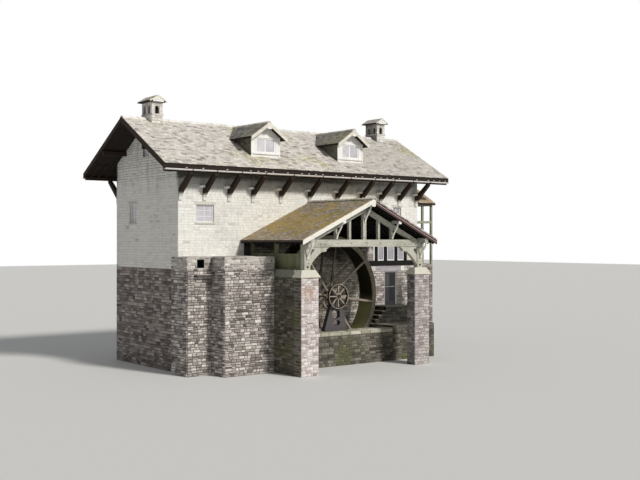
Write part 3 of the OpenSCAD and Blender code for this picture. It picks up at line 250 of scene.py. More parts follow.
def rubble(name, dark, middle, light, moss=0.5, moss_from=0.60, rust=None, shade=None):
    """Coursed natural stone; rust is a stain's X, Z and reach, and shade is for Nodes.shade."""
    n = Nodes(name, 0.9)
    n.base = n.toned((0.0, dark), (0.45, middle), (0.8, light), (1.0, scaled(light, 1.2)))
    n.over(scaled(dark, 0.7), n.spots(0.42, 0.68, 16.0, 9, 0.72), 0.65)
    n.over(scaled(light, 1.25), n.spots(0.58, 0.70, 5.0, 8, 0.7), 0.45)
    if rust:
        x, z, reach = rust
        near = n.mask(n.away(x, z), reach * 1.4, reach * 0.4)
        n.over((0.44, 0.20, 0.09), n.spots(0.38, 0.60, 4.5, 8, 0.7), near, 0.85)
    n.over((0.13, 0.14, 0.055), n.spots(moss_from, moss_from + 0.14, 0.8, 7), moss)
    if shade:
        n.shade(*shade)
    return n.done(*STONE_BUMP)


def inner_stone(name):
    """Damp rubble of the wall behind the wheel, with painted sunlit patches, painted shade behind the wheel's
    top and black painted shade up under the porch's roof.
    """
    n = Nodes(name, 0.9)
    n.base = n.toned((0.0, (0.13, 0.112, 0.092)), (0.45, (0.40, 0.355, 0.30)), (0.8, (0.66, 0.60, 0.52)),
                     (1.0, (0.82, 0.76, 0.68)))
    # Painted light: paler stone where patches of sunlight fall on the wall.
    painted_sunlit = n.toned((0.0, (0.40, 0.36, 0.31)), (0.5, (0.78, 0.72, 0.64)), (1.0, (0.94, 0.90, 0.84)))
    sunlit_low = n.times(n.along("X", 1.45, 1.9), n.along("Z", 5.3, 4.6))
    sunlit_patch = n.math("MAXIMUM", n.mask(n.away(1.3, 5.0), 1.10, 0.55), sunlit_low)
    n.over(painted_sunlit, sunlit_patch, n.spots(0.30, 0.50, 2.5, 6))
    n.over((0.10, 0.085, 0.07), n.spots(0.42, 0.68, 14.0, 9, 0.72), 0.55)
    n.over((0.19, 0.185, 0.08), n.spots(0.54, 0.70, 0.9, 7), 0.6)
    # Painted shade behind the top of the wheel.
    height = n.add(n.axis("Z"), n.times(n.noise(1.2, 6), 0.8))
    n.over((0.022, 0.020, 0.016), n.mask(height, 5.5, 6.5), n.along("X", 0.3, 1.5),
           n.along("X", 3.9, 3.5), 0.9)
    # Painted shade: near black up under the porch's roof.
    n.over((0.012, 0.010, 0.009), n.along("Z", 5.9, 6.9))
    return n.done(*STONE_BUMP)


def door_stone(name):
    """Limewashed rubble beside the door, darkened low down and to the right by painted shade."""
    n = Nodes(name, 0.9)
    n.base = n.toned((0.0, (0.22, 0.17, 0.165)), (0.45, (0.52, 0.46, 0.44)), (0.8, (0.78, 0.73, 0.71)),
                     (1.0, (0.88, 0.85, 0.83)))
    n.over((0.14, 0.11, 0.10), n.spots(0.42, 0.68, 16.0, 9, 0.72), 0.65)
    # Painted shade: darker low down and towards the right.
    low = n.math("SUBTRACT", n.math("MULTIPLY_ADD", n.noise(3.0, 5), 0.8, 3.9), n.axis("Z"))
    low = n.mask(n.add(low, n.times(n.axis("X"), 0.5)), 2.6, 4.2)
    near = n.mask(n.math("SUBTRACT", n.axis("X"), n.times(n.noise(2.0, 6), 0.8)), 7.0, 6.6)
    n.over((0.06, 0.062, 0.052), low, n.along("X", 6.2, 6.9), near, 0.85)
    return n.done(*STONE_BUMP)


def door_planks(name):
    """Grey planks, paler in the door's left half."""
    n = Nodes(name, 0.7)
    grain = n.noise(1.0, 8, 0.62, UPRIGHT)
    n.base = n.ramp(grain, (0.3, (0.06, 0.06, 0.06)), (0.7, (0.115, 0.112, 0.112)))
    right_half = n.ramp(grain, (0.3, (0.018, 0.018, 0.020)), (0.7, (0.045, 0.044, 0.050)))
    n.over(right_half, n.along("X", 6.16, 6.18))
    n.shade("Z", 4.05, 3.95, (0.020, 0.020, 0.019), 0.5)
    return n.done(grain, 0.006, 0.8)


def strut_bark(name):
    """Dark struts that turn grey lower down and nearly white at their feet on the wall."""
    n = Nodes(name, 0.85)
    grain = n.noise(1.0, 8, 0.62, UPRIGHT, 0.4)
    n.base = n.ramp(grain, (0.28, BARK_DARK), (0.5, BARK), (0.75, scaled(BARK, 1.2)))
    grey = n.ramp(grain, (0.28, (0.34, 0.33, 0.31)), (0.5, (0.52, 0.51, 0.48)), (0.75, (0.64, 0.63, 0.59)))
    n.over(grey, n.mask(n.add(n.axis("Z"), n.times(n.noise(5.0), 0.2)), 9.38, 9.24))
    n.shade("Z", 9.06, 8.98, (0.80, 0.79, 0.75), 0.9)
    return n.done(grain, 0.008, 0.8)


def mortar(name):
    """Mortar in the joints, dark on bare stone and pale on the limewashed walls; black with painted shade in
    the sluice and up under the porch roof, and darker under the eaves with grime and painted shade.
    """
    n = Nodes(name, 0.95)
    x, z = n.math("ABSOLUTE", n.axis("X")), n.axis("Z")
    line = n.math("SUBTRACT", PORCH_RIDGE_Z, n.times(x, PORCH_SLOPE))
    in_porch = n.times(n.less(z, line), n.less(x, SIDE_X), n.less(n.axis("Y"), WALL_Y + 0.3))
    dark = n.mix(n.noise(6.0, 6), (0.13, 0.115, 0.105), (0.06, 0.055, 0.05))
    # Painted shade: near black up under the porch's roof.
    dark = n.mix(n.times(in_porch, n.mask(z, 5.9, 6.9)), dark, (0.010, 0.009, 0.008))
    n.base = n.mix(n.noise(6.0, 6), (0.74, 0.72, 0.67), (0.58, 0.56, 0.52))
    # Grime and painted shade: darker right under the eaves.
    n.shade("Z", 9.85, 10.15, (0.10, 0.10, 0.085), 0.8)
    n.over(dark, n.math("MAXIMUM", in_porch, n.less(z, BARE_Z)))
    # Painted shade: black inside the sluice's recess.
    n.over((0.016, 0.015, 0.012), n.less(n.away(-8.035, 5.605), 0.33),
           n.math("GREATER_THAN", n.axis("Y"), WALL_Y - 1.57))
    return n.done((60.0, 6), 0.01, 0.6)


def slates(name, moss, *tones):
    """Slates or ridge tiles of four tones, mossy in patches and below the left dormer."""
    n = Nodes(name, 0.8)
    n.base = n.toned(*zip((0.0, 0.3, 0.7, 1.0), tones))
    n.over(scaled(tones[0], 0.8), n.spots(0.45, 0.70, 12.0, 9, 0.72), 0.6)
    n.over((0.64, 0.61, 0.50), n.spots(0.54, 0.66, 2.6, 9, 0.75), 0.55)
    n.shade("X", 0.5, 4.5, (0.40, 0.385, 0.355), 0.3)
    beside = n.math("ABSOLUTE", n.add(n.axis("X"), DORMER_X + 0.3))
    below = n.times(n.math("SUBTRACT", 1.0, n.mask(beside, 0.8, 1.7)), n.less(n.axis("Z"), 11.4))
    patches = n.mask(n.add(n.noise(0.45, 4), n.times(below, 0.17)), 0.53, 0.67)
    n.over((0.47, 0.44, 0.19), patches, n.spots(0.46, 0.56, 6.0, 9, 0.72), moss)
    return n.done((40.0, 9, 0.72), 0.012, 0.7)


def mossy_tiles(name):
    """Clay tiles under brown-orange moss, thickest over the middle of a slope."""
    n = Nodes(name, 0.9)
    n.base = n.toned((0.0, (0.24, 0.195, 0.15)), (0.5, (0.50, 0.43, 0.335)), (1.0, (0.76, 0.68, 0.56)))
    middle = n.math("SUBTRACT", 1.0, n.math("ABSOLUTE", n.math("MULTIPLY_ADD", n.axis("Z"), 0.9, -6.95)))
    thick = n.mask(n.add(n.noise(1.0, 7, 0.68), n.times(middle, 0.16)), 0.52, 0.68)
    n.over((0.62, 0.43, 0.11), thick, n.spots(0.38, 0.58, 8.0, 9, 0.75))
    n.over((0.27, 0.25, 0.085), n.spots(0.50, 0.64, 1.5, 6, 0.6), n.spots(0.42, 0.60, 12.0, 9, 0.72), 0.8)
    return n.done((30.0, 9, 0.76), 0.03, 0.9)


def timber(name, light, dark, along, stain=(0.10, 0.12, 0.06), stained=0.5, roughness=0.8, shade=None):
    """Sawn or painted timber, its grain along X, Y or Z, stained by damp; shade is for Nodes.shade."""
    n = Nodes(name, roughness)
    grain = n.noise(1.0, 8, 0.62, tuple(0.7 if letter == along else 20.0 for letter in "XYZ"), 0.4)
    n.base = n.ramp(grain, (0.28, dark), (0.5, light), (0.75, scaled(light, 1.12)))
    n.over(stain, n.spots(0.48, 0.68, 1.6, 8, 0.68), stained)
    n.over(scaled(dark, 0.6), n.spots(0.56, 0.70, 9.0, 9, 0.72), 0.45)
    if shade:
        n.shade(*shade)
    return n.done(grain, 0.008, 0.8)


def pulley_iron(name):
    """Worn spokes in a dark grooved ring with a worn outer edge."""
    n = Nodes(name, 0.6, 0.15)
    far, front = n.away(0.0, WHEEL_Z), WALL_Y + LOW["wheel_pulley"].y
    worn = n.spots(0.42, 0.62, 9.0, 8, 0.7)
    n.base = n.mix(n.times(worn, 0.7), (0.46, 0.40, 0.33), (0.20, 0.14, 0.10))
    n.over(n.mix(worn, (0.07, 0.055, 0.045), (0.03, 0.025, 0.022)), n.mask(far, 0.56, 0.60))
    n.over(n.mix(worn, (0.44, 0.38, 0.30), (0.25, 0.19, 0.14)), n.mask(far, 0.635, 0.645),
           n.along("Y", front + 0.008, front + 0.003), 0.85)
    return n.done(*IRON_BUMP)


def rusty(name, paint, rust, amount, dark_box=None):
    """Old painted iron that rust shows through, darker in a box that the last argument gives as X, X and
    lowest Z.
    """
    n = Nodes(name, 0.6, 0.15)
    n.base = n.mix(n.noise(24.0, 8), paint, scaled(paint, 0.70))
    n.over(n.ramp(n.noise(9.0, 6), (0.3, rust), (0.7, scaled(rust, 0.5))),
           n.spots(0.62 - amount * 0.25, 0.72 - amount * 0.2, 3.5, 9, 0.72))
    if dark_box:
        left, right, low = dark_box
        n.over((0.05, 0.045, 0.035), n.along("X", left - 0.1, left), n.along("X", right + 0.1, right),
               n.along("Z", low, low + 0.3), 0.85)
    return n.done(*IRON_BUMP)


def window_glass(name):
    """Old panes with pale curtains and a painted reflection of the sky in them."""
    n = Nodes(name, 0.12)
    n.base = n.ramp(n.noise(1.6, 3), (0.3, (0.46, 0.45, 0.50)), (0.6, (0.64, 0.63, 0.68)),
                    (0.8, (0.74, 0.73, 0.78)))
    n.shade("X", 4.6, 4.9, (0.22, 0.215, 0.25), 0.62)
    return n.done((2.2, 2), 0.01, 0.3)


def verge_boards(name, white, brown):
    """White paint left of the porch's ridge and brown right of it."""
    n = Nodes(name, 0.8)
    worn = n.spots(0.54, 0.68, 7.0, 9, 0.72)
    n.base = n.mix(n.times(worn, 0.6), white, (0.36, 0.37, 0.30))
    n.over(n.mix(n.times(worn, 0.7), brown, (0.10, 0.07, 0.06)), n.along("X", 0.12, 0.16))
    return n.done((30.0, 8, 0.7), 0.006, 0.7)


# Each maker's materials and what it is given for them
LOOKS = {
    plain: {"white_lime": ((0.95, 0.945, 0.92), 0.9)},
    verge_boards: {
        "verge_paint": ((0.84, 0.83, 0.76), (0.085, 0.050, 0.046)),
        "verge_strips": ((0.86, 0.85, 0.78), (0.42, 0.33, 0.32)),
    },
    rubble: {
        "bare_stone": ((0.11, 0.09, 0.087), (0.31, 0.27, 0.25), (0.56, 0.51, 0.48), 0.45),
        "washed_stone": ((0.30, 0.24, 0.23), (0.82, 0.74, 0.72), (0.95, 0.92, 0.90), 0.25, 0.64,
                         (-4.0, 4.15, 0.42), ("X", -1, 1, (0.16, 0.13, 0.13), 0.34)),
        "washed_mortar": ((0.50, 0.44, 0.43), (0.50, 0.44, 0.43), (0.58, 0.52, 0.51), 0.25, 0.64, None,
                          ("X", -1, 1, (0.10, 0.085, 0.085), 0.7)),
        # Painted shade: darker stone for the right pillar's and the right chimney's left faces.
        "grey_stone": ((0.10, 0.093, 0.095), (0.30, 0.28, 0.285), (0.52, 0.49, 0.49), 0.15),
        "rough_stone": ((0.12, 0.105, 0.10), (0.50, 0.45, 0.42), (0.86, 0.80, 0.75), 0.45),
        "pale_stone": ((0.60, 0.58, 0.52), (0.74, 0.72, 0.66), (0.80, 0.78, 0.73), 0.2, 0.64),
        # Damp and painted shade: dark stone for the low wall's left face and the sides of the pit and
        # platform.
        "damp_stone": ((0.05, 0.045, 0.036), (0.14, 0.13, 0.105), (0.27, 0.25, 0.205), 0.7, 0.52),
        "shade_stone": ((0.014, 0.013, 0.011), (0.030, 0.028, 0.024), (0.068, 0.065, 0.055), 0.3),
        "cap_stone": ((0.72, 0.69, 0.60), (0.86, 0.83, 0.74), (0.90, 0.87, 0.79), 0.25, 0.64, None,
                      ("Y", -5.90, -5.80, (0.20, 0.21, 0.17), 0.85)),
        "coping_stone": ((0.30, 0.28, 0.21), (0.50, 0.48, 0.38), (0.70, 0.68, 0.58), 0.6, 0.52),
        "chimney_stone": ((0.55, 0.52, 0.48), (0.84, 0.81, 0.76), (0.93, 0.91, 0.86), 0.15),
        # Painted shade: the steps' treads and the platform turn near black right of X 4.2 to 4.8.
        "paving": ((0.10, 0.09, 0.072), (0.20, 0.185, 0.15), (0.30, 0.28, 0.23), 0.5, 0.52, None,
                   ("X", 4.2, 4.8, (0.018, 0.017, 0.014), 0.68)),
        "verge_clay": ((0.22, 0.17, 0.165), (0.46, 0.38, 0.37), (0.68, 0.61, 0.60), 0.3),
        "eave_clay": ((0.14, 0.115, 0.09), (0.16, 0.13, 0.105), (0.2, 0.17, 0.14), 0.3),
    },
    slates: {
        "slates": (0.85, (0.26, 0.235, 0.22), (0.68, 0.64, 0.60), (0.86, 0.82, 0.76), (0.95, 0.92, 0.87)),
        "dark_slates": (0.6, (0.07, 0.065, 0.057), (0.20, 0.19, 0.175), (0.32, 0.305, 0.275),
                        (0.46, 0.43, 0.385)),
        # Painted shade: the dormer cheeks' slates are far darker than the roof's.
        "cheek_slates": (0.2, (0.05, 0.048, 0.038), (0.095, 0.09, 0.072), (0.14, 0.135, 0.11),
                         (0.22, 0.21, 0.175)),
        "gallery_clay": (0.3, (0.38, 0.27, 0.17), (0.60, 0.45, 0.28), (0.76, 0.60, 0.41), (0.90, 0.77, 0.60)),
        "ridge_clay": (0.5, (0.42, 0.38, 0.34), (0.52, 0.48, 0.43), (0.62, 0.58, 0.52), (0.72, 0.68, 0.61)),
        "ridge_lime": (0.35, (0.74, 0.72, 0.67), (0.88, 0.86, 0.81), (0.94, 0.925, 0.88), (0.97, 0.96, 0.92)),
    },
    timber: {
        "sarking": ((0.028, 0.020, 0.017), (0.012, 0.009, 0.008), "X", (0.03, 0.03, 0.02), 0.2),
        "bark_x": (BARK, BARK_DARK, "X", (0.05, 0.045, 0.03), 0.3),
        "black_timber": ((0.010, 0.010, 0.009), (0.005, 0.005, 0.004), "X", (0.02, 0.02, 0.014), 0.25),
        "cream_x": (*CREAM, "X", CREAM_STAIN),
        # Painted shade: the purlins turn near black behind the front truss, under the porch roof.
        "cream_y": (*CREAM, "Y", CREAM_STAIN, 0.5, 0.8, ("Y", -6.30, -6.10, (0.015, 0.013, 0.010), 0.95)),
        "cream_z": (*CREAM, "Z", CREAM_STAIN),
        "grey_timber": ((0.34, 0.35, 0.27), (0.17, 0.18, 0.13), "Z"),
        "green_boards": ((0.25, 0.26, 0.155), (0.10, 0.11, 0.062), "Z", (0.08, 0.095, 0.035), 0.6),
        "floor_boards": ((0.30, 0.22, 0.14), (0.16, 0.11, 0.07), "X", (0.10, 0.08, 0.05), 0.3),
        # Wet timber darkened further by painted shade, turning olive low down, below Z 3.8 to 2.9.
        "wet_timber": ((0.018, 0.018, 0.010), (0.007, 0.008, 0.005), "Y", (0.008, 0.010, 0.004), 0.6, 0.8,
                       ("Z", 3.8, 2.9, (0.43, 0.42, 0.20), 0.85)),
        "white_paint": ((0.92, 0.91, 0.89), (0.72, 0.71, 0.67), "Z", (0.52, 0.51, 0.46), 0.25, 0.6),
        "cream_paint": ((0.78, 0.75, 0.67), (0.56, 0.53, 0.45), "X", (0.44, 0.42, 0.34), 0.3),
        "door_paint": ((0.040, 0.040, 0.042), (0.020, 0.020, 0.022), "Z", (0.07, 0.07, 0.075), 0.4, 0.5),
        "frame_paint": ((0.42, 0.42, 0.42), (0.26, 0.26, 0.25), "Z", (0.20, 0.21, 0.19), 0.4),
        # Painted shade: the door lintel's whitewash is given as lilac-grey.
        "lilac_paint": ((0.44, 0.41, 0.43), (0.24, 0.22, 0.235), "X", (0.20, 0.19, 0.19)),
    },
    rusty: {
        "gutter": ((0.98, 0.935, 0.92), (0.42, 0.32, 0.29), 0.12),
        "dark_iron": ((0.050, 0.043, 0.048), (0.16, 0.085, 0.05), 0.30),
        "stand_iron": ((0.115, 0.107, 0.118), (0.17, 0.12, 0.095), 0.30),
        "rim_iron": ((0.30, 0.265, 0.20), (0.24, 0.17, 0.10), 0.40),
        "arm_iron": ((0.36, 0.32, 0.26), (0.24, 0.17, 0.12), 0.38, (-0.2, 0.5, 4.3)),
    },
}
MATERIALS = {name: make(name, *how) for make, rows in LOOKS.items() for name, how in rows.items()}
for make_one in (whitewash, mortar, inner_stone, door_stone, door_planks, strut_bark, mossy_tiles,
                 pulley_iron, window_glass):
    MATERIALS[make_one.__name__] = make_one(make_one.__name__)

# Materials of the CAD nodes
NODE_FINISH = {
    "mortar": "front_wall_left front_wall_base door_piers wall_over_door front_wall_upper left_end_wall "
              "right_end_wall back_wall ground_floor platform abutment pit_wall low_side_wall gallery_base",
    "washed_mortar": "pillars",
    "whitewash": "band_piers",
    "paving": "entrance_steps",
    "cap_stone": "pillar_caps",
    "chimney_stone": "chimneys",
    "sarking": "roof_front roof_back gallery_roof dormer_roofs chimney_roofs",
    "ridge_lime": "ridge_tiles",
    "bark_x": "eaves_beams",
    "strut_bark": "eaves_struts",
    # The porch roof's slabs are black as painted shade under that roof; the beam and studs are black timber.
    "black_timber": "black_beam band_studs porch_roof_left porch_roof_right",
    "floor_boards": "upper_floors",
    "gutter": "gutters",
    "white_paint": "dormer_walls window_frames",
    "frame_paint": "door_frame",
    "cream_paint": "dormer_bargeboards purlin_brackets",
    "lilac_paint": "door_lintel",
    "window_glass": "window_glass",
    "door_paint": "door_leaf",
    "cream_z": "porch_posts king_post_and_studs arch_braces",
    "cream_x": "tie_beam principal_rafters",
    "cream_y": "porch_purlins",
    "green_boards": "porch_side_frame",
    "grey_timber": "gallery_frame",
    "verge_paint": "bargeboards",
    "dark_iron": "wall_bearing wheel_axle",
    "stand_iron": "bearing_stand",
    "rim_iron": "wheel_rims",
    "arm_iron": "wheel_arms wheel_hubs",
    "pulley_iron": "wheel_pulley",
    "wet_timber": "wheel_sole wheel_buckets",
}


# Mesh making

def face(origin, along, up):
    """Turns a place on a face, as along, up and out, into a point; out is along x up."""
    origin, out = Vector(origin), along.cross(up)
    return lambda u, v, w: origin + along * u + up * v + out * w


def front_of(y):
    return face((0, y, 0), X_AXIS, Z_AXIS)


def back_of(y):
    return face((0, y, 0), -X_AXIS, Z_AXIS)


def left_of(x):
    return face((x, 0, 0), -Y_AXIS, Z_AXIS)


def right_of(x):
    return face((x, 0, 0), Y_AXIS, Z_AXIS)


def top_of(z):
    return face((0, 0, z), X_AXIS, Y_AXIS)


def crossings(loop, v):
    """Where a level line crosses the loop, in order."""
    found = []
    for (u0, v0), (u1, v1) in zip(loop, loop[1:] + loop[:1]):
        if (v0 <= v) != (v1 <= v):
            found.append(u0 + (u1 - u0) * (v - v0) / (v1 - v0))
    return sorted(found)


def spans(loop, holes, v0, v1, inset, least):
    """Parts of a course inside the loop and clear of the holes; each end is its u at v0 and at v1."""
    lows, highs = crossings(loop, v0 + inset), crossings(loop, v1 - inset)
    if len(lows) != len(highs):
        return
    hit = sorted(hole for hole in holes if hole[2] < v1 - least and hole[3] > v0 + least)
    for i in range(0, len(lows), 2):
        left, right = (lows[i], highs[i]), (lows[i + 1], highs[i + 1])
        for start, end, _, _ in hit:
            if end > min(left) and start < max(right):
                yield left, (start, start)
                left = (end, end)
        yield left, right


def rectangle(u0, u1, v0, v1):
    return [(u0, v0), (u1, v0), (u1, v1), (u0, v1)]


def slanted(u0, v0, u1, v1, deep):
    """Profile of a sloping timber under the line from (u0, v0) to (u1, v1)."""
    return [(u0, v0 - deep), (u1, v1 - deep), (u1, v1), (u0, v0)]


def steps_of(start, end, run):
    """Evenly spaced places from start to about end."""
    return [start + i * run for i in range(int((end - start) / run) + 1)]


def ring_faces(sides, start=0):
    """Side faces between two rings of points."""
    return [(start + i, start + (i + 1) % sides, start + sides + (i + 1) % sides, start + sides + i)
            for i in range(sides)]


# Three of a cut cube's 24 corners lie at each corner of the cube, one for each axis
CUBE_SIGNS = [(a, b, c) for a in (-1, 1) for b in (-1, 1) for c in (-1, 1)]
CUT_CUBE = [(3, 9, 6, 0), (12, 18, 21, 15), (2, 14, 13, 1), (4, 16, 17, 5), (7, 19, 20, 8), (11, 23, 22, 10),
            (1, 13, 16, 4), (10, 22, 19, 7), (0, 6, 8, 2), (5, 11, 9, 3), (14, 20, 18, 12), (15, 21, 23, 17),
            (8, 20, 14, 2), (5, 17, 23, 11), (1, 4, 3, 0), (6, 9, 10, 7), (12, 15, 16, 13), (19, 22, 21, 18),
            (2, 1, 0), (3, 4, 5), (6, 7, 8), (11, 10, 9), (12, 13, 14), (17, 16, 15), (20, 19, 18),
            (21, 22, 23)]
BOX = [(0, 3, 2, 1), (4, 5, 6, 7), (0, 1, 5, 4), (1, 2, 6, 5), (2, 3, 7, 6), (3, 0, 4, 7)]
STONE = [(3, 2, 1, 0)] + ring_faces(4) + [(4 + i, 4 + (i + 1) % 4, 8) for i in range(4)]
COURSES = dict(course=0.16, width=(0.2, 0.5), relief=0.026, bevel=0.018, gap=0.006, smooth=False, thin=0.12,
               slant=0.012)
BOARDS = dict(smooth=True, thin=0)
BURIED = -0.004  # how far out the backs of stones and plates are: just inside what carries them
FLAGS = dict(course=0.42, width=(0.5, 0.9), relief=0.030, bevel=0.02, gap=0.009, thin=0)
SMALL_BOLT = 0.018, 0.016  # radius and height


class Pile:
    """Closed solids gathered into one mesh, each with its own tone."""

    def __init__(self, seed):
        self.points, self.faces, self.tones = [], [], []
        self.random = random.Random(seed)

    def solid(self, points, faces, tone=None):
        """Adds one closed solid, its faces turned outwards whichever way they are listed."""
        middle = sum(points, Vector()) / len(points)
        volume = sum((points[ring[0]] - middle).dot((points[a] - middle).cross(points[b] - middle))
                     for ring in faces for a, b in zip(ring[1:], ring[2:]))
        if volume < 0:
            faces = [ring[::-1] for ring in faces]
        start = len(self.points)
        self.points += points
        self.faces += [tuple(start + i for i in ring) for ring in faces]
        self.tones += [self.random.random() if tone is None else tone] * len(faces)

    def middling_tone(self):
        return self.random.betavariate(2.2, 2.2)

    def stone(self, place, corners, look):
        """A stone or board over four corners, its edges worn; a rough stone's middle is slightly raised."""
        r, bevel = self.random, look.bevel
        cu, cv = sum(c[0] for c in corners) / 4, sum(c[1] for c in corners) / 4
        back, front, sum_u, sum_v = [], [], 0, 0
        for u, v in corners:
            su, sv = (1 if u < cu else -1), (1 if v < cv else -1)
            u += su * min(look.gap, abs(cu - u) * 0.4)
            v += sv * min(look.gap, abs(cv - v) * 0.4)
            back.append(place(u, v, BURIED))
            u += su * min(bevel * r.uniform(0.5, 1.5), abs(cu - u) * 0.5)
            v += sv * min(bevel * r.uniform(0.5, 1.5), abs(cv - v) * 0.5)
            sum_u, sum_v = sum_u + u, sum_v + v
            front.append(place(u, v, look.relief * r.uniform(0.60, 1.0)))
        tone = self.middling_tone()
        if look.smooth:
            self.solid(back + front, BOX, tone)
        else:
            u, v = sum_u / 4 + (r.random() - 0.5) * bevel, sum_v / 4 + (r.random() - 0.5) * bevel
            self.solid(back + front + [place(u, v, look.relief * r.uniform(1.0, 1.35))], STONE, tone)

    def lay(self, place, loop, holes=(), **changes):
        """Fills the loop, apart from the holes, with courses of stones or boards; changes are to COURSES."""
        r, look, tiny = self.random, SimpleNamespace(**{**COURSES, **changes}), 1e-4
        levels = sorted({round(v, 4) for _, v in loop} | {round(v, 4) for hole in holes for v in hole[2:]})
        for low, high in zip(levels, levels[1:]):
            if high - low < 0.02:
                continue
            count = max(1, round((high - low) / look.course))
            cuts = [low + (high - low) * (i + (r.uniform(-0.2, 0.2) if 0 < i < count else 0)) / count
                    for i in range(count + 1)]
            for v0, v1 in zip(cuts, cuts[1:]):
                for left, right in spans(loop, holes, v0, v1, tiny, tiny):
                    self.row(place, left, right, v0, v1, look)

    def row(self, place, left, right, v0, v1, look):
        """One course of stones or boards; now and then two thin stones lie in the place of one."""
        r = self.random
        if max(right[0] - left[0], right[1] - left[1]) < 0.04:
            return
        edges, u = [left], max(left)
        while True:
            u += r.uniform(*look.width)
            if u > min(right) - look.width[0] * 0.5:
                break
            edges.append((u + r.uniform(-look.slant, look.slant), u + r.uniform(-look.slant, look.slant)))
        edges.append(right)
        for a, b in zip(edges, edges[1:]):
            b = (max(b[0], a[0] + 0.01), max(b[1], a[1] + 0.01))
            levels = [(v0, a[0], b[0]), (v1, a[1], b[1])]
            if v1 - v0 > 0.12 and r.random() < look.thin:
                share = r.uniform(0.4, 0.6)
                levels.insert(1, (v0 + (v1 - v0) * share, a[0] + (a[1] - a[0]) * share,
                                  b[0] + (b[1] - b[0]) * share))
            for (low, a0, b0), (high, a1, b1) in zip(levels, levels[1:]):
                self.stone(place, [(a0, low), (b0, low), (b1, high), (a1, high)], look)

    def shingle(self, place, loop, holes, exposure, width, thick, rough, overhang=0.03):
        """Laps courses of slates or tiles up a slope."""
        r = self.random
        bottom, top = min(v for _, v in loop), max(v for _, v in loop)
        count = max(1, round((top - bottom) / exposure))
        step = (top - bottom) / count
        for i in range(count):
            v0, v1 = bottom + i * step, bottom + (i + 1) * step
            for left, right in spans(loop, holes, v0, v1, 1e-3, 0.02):
                u, right = max(left), min(right)
                while u < right - 0.03:
                    wide = r.uniform(*width) * (0.5 if u == max(left) and i % 2 else 1.0)
                    end = right if right - (u + wide) < width[0] * 0.4 else u + wide
                    tail = v0 - (overhang if i == 0 else 0) + r.uniform(-rough, rough)
                    lean, lift = r.uniform(-rough, rough) * 0.5, thick + r.uniform(0, thick * 0.8)
                    head, a, b = min(v1 + 0.03, top), u + 0.003, end - 0.003
                    under = [(a, tail + lean, lift), (b, tail - lean, lift), (b, head, 0), (a, head, 0)]
                    points = [place(p, q, w + up) for up in (0, thick) for p, q, w in under]
                    self.solid(points, BOX, self.middling_tone())
                    u = end

    def block(self, place, u0, u1, v0, v1, w0, w1, cut=0.008, tone=None):
        """A block with cut edges."""
        low, high = (min(u0, u1), min(v0, v1), w0), (max(u0, u1), max(v0, v1), w1)
        points = []
        for signs in CUBE_SIGNS:
            for axis in range(3):
                at = []
                for k, s in enumerate(signs):
                    c = 0 if k == axis else min(cut, (high[k] - low[k]) * 0.3)
                    at.append(high[k] - c if s > 0 else low[k] + c)
                points.append(place(*at))
        self.solid(points, CUT_CUBE, tone)

    def prism(self, place, profile, w0, w1, tone=None):
        """A profile in along and up, pushed outwards from w0 to w1."""
        sides = len(profile)
        points = [place(u, v, w) for w in (w0, w1) for u, v in profile]
        ends = [tuple(range(sides))[::-1], tuple(range(sides, 2 * sides))]
        self.solid(points, ends + ring_faces(sides), tone)

    def caps(self, place, wing, pitch, w0, w1, run, gaps=(), bed=0.0):
        """A row of ridge tiles with raised collars, from w0 to w1, lifted by the bed."""
        c, top, foot = wing * math.cos(pitch), bed + 0.018, bed - wing * math.sin(pitch) + 0.016
        while w0 < w1 - 0.05:
            end = min(w0 + run, w1)
            if not any(a < end and b > w0 for a, b in gaps):
                lift = self.random.uniform(0.035, 0.048)
                ring = [(-c, foot), (0, top), (c, foot), (c, foot + lift), (0.3 * c, top + lift),
                        (-0.3 * c, top + lift), (-c, foot + lift)]
                self.prism(place, ring, w0 + 0.003, end - 0.003)
                collar = [(u * 1.05, v + (0.012 if k > 2 else -0.003)) for k, (u, v) in enumerate(ring)]
                self.prism(place, collar, w0 + 0.002, w0 + 0.05)
            w0 = end

    def bolt(self, place, u, v, radius, height, sides=6, base=-0.003):
        """A bolt or peg head with a worn top."""
        turns = [math.tau * k / sides for k in range(sides)]
        points = [place(u + q * math.cos(a), v + q * math.sin(a), w)
                  for q, w in ((radius, base), (radius, height * 0.7), (radius * 0.7, height)) for a in turns]
        ends = [tuple(range(sides))[::-1], tuple(range(2 * sides, 3 * sides))]
        self.solid(points, ends + ring_faces(sides) + ring_faces(sides, sides))

    def done(self, name, material, slot, body="mill"):
        """Makes the mesh, moves it to the shared frame and lets it ride on its body."""
        mesh = bpy.data.meshes.new(name)
        mesh.from_pydata([(p[0], p[1] + WALL_Y, p[2]) for p in self.points], [], self.faces)
        mesh.validate()
        tone = mesh.attributes.new("tone", "FLOAT", "FACE")
        tone.data.foreach_set("value", self.tones)
        mesh.materials.append(MATERIALS[material])
        piece = bpy.data.objects.new(name, mesh)
        bpy.context.scene.collection.objects.link(piece)
        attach(piece, body)


def laid(seed, name, material, slot, faces, **changes):
    """A piece of laid courses; each face is a place, its loop and any holes, and changes are to COURSES."""
    pile = Pile(seed)
    for place, loop, *holes in faces:
        pile.lay(place, loop, *holes, **changes)
    pile.done(name, material, slot)


def openings(windows, flip=1):
    """Sides, sill and head of windows given as middle, width, sill and height; flip mirrors them."""
    return [(flip * middle - width / 2, flip * middle + width / 2, sill, sill + height)
            for middle, width, sill, height in windows]


# The plain windows, and the four walls with their openings
END_WINDOWS = [(5.0, 0.8, 7.72, 1.06), (3.5, 0.6, 11.2975, 0.8)]
BACK_WINDOWS = [(x, 0.9, 7.72, 1.06) for x in (-5.6, 0, 5.6)] + [(x, 0.9, 5.62, 1.06) for x in (-2.8, 2.8)]
FRONT = front_of(0), openings([(-6.82, 1.08, 7.72, 0.92), (6.735, 0.65, 7.72, 1.06)])
BACK = back_of(DEPTH), openings(BACK_WINDOWS, -1)
LEFT = left_of(-HALF_W), openings(END_WINDOWS, -1)
RIGHT = right_of(HALF_W), openings(END_WINDOWS)


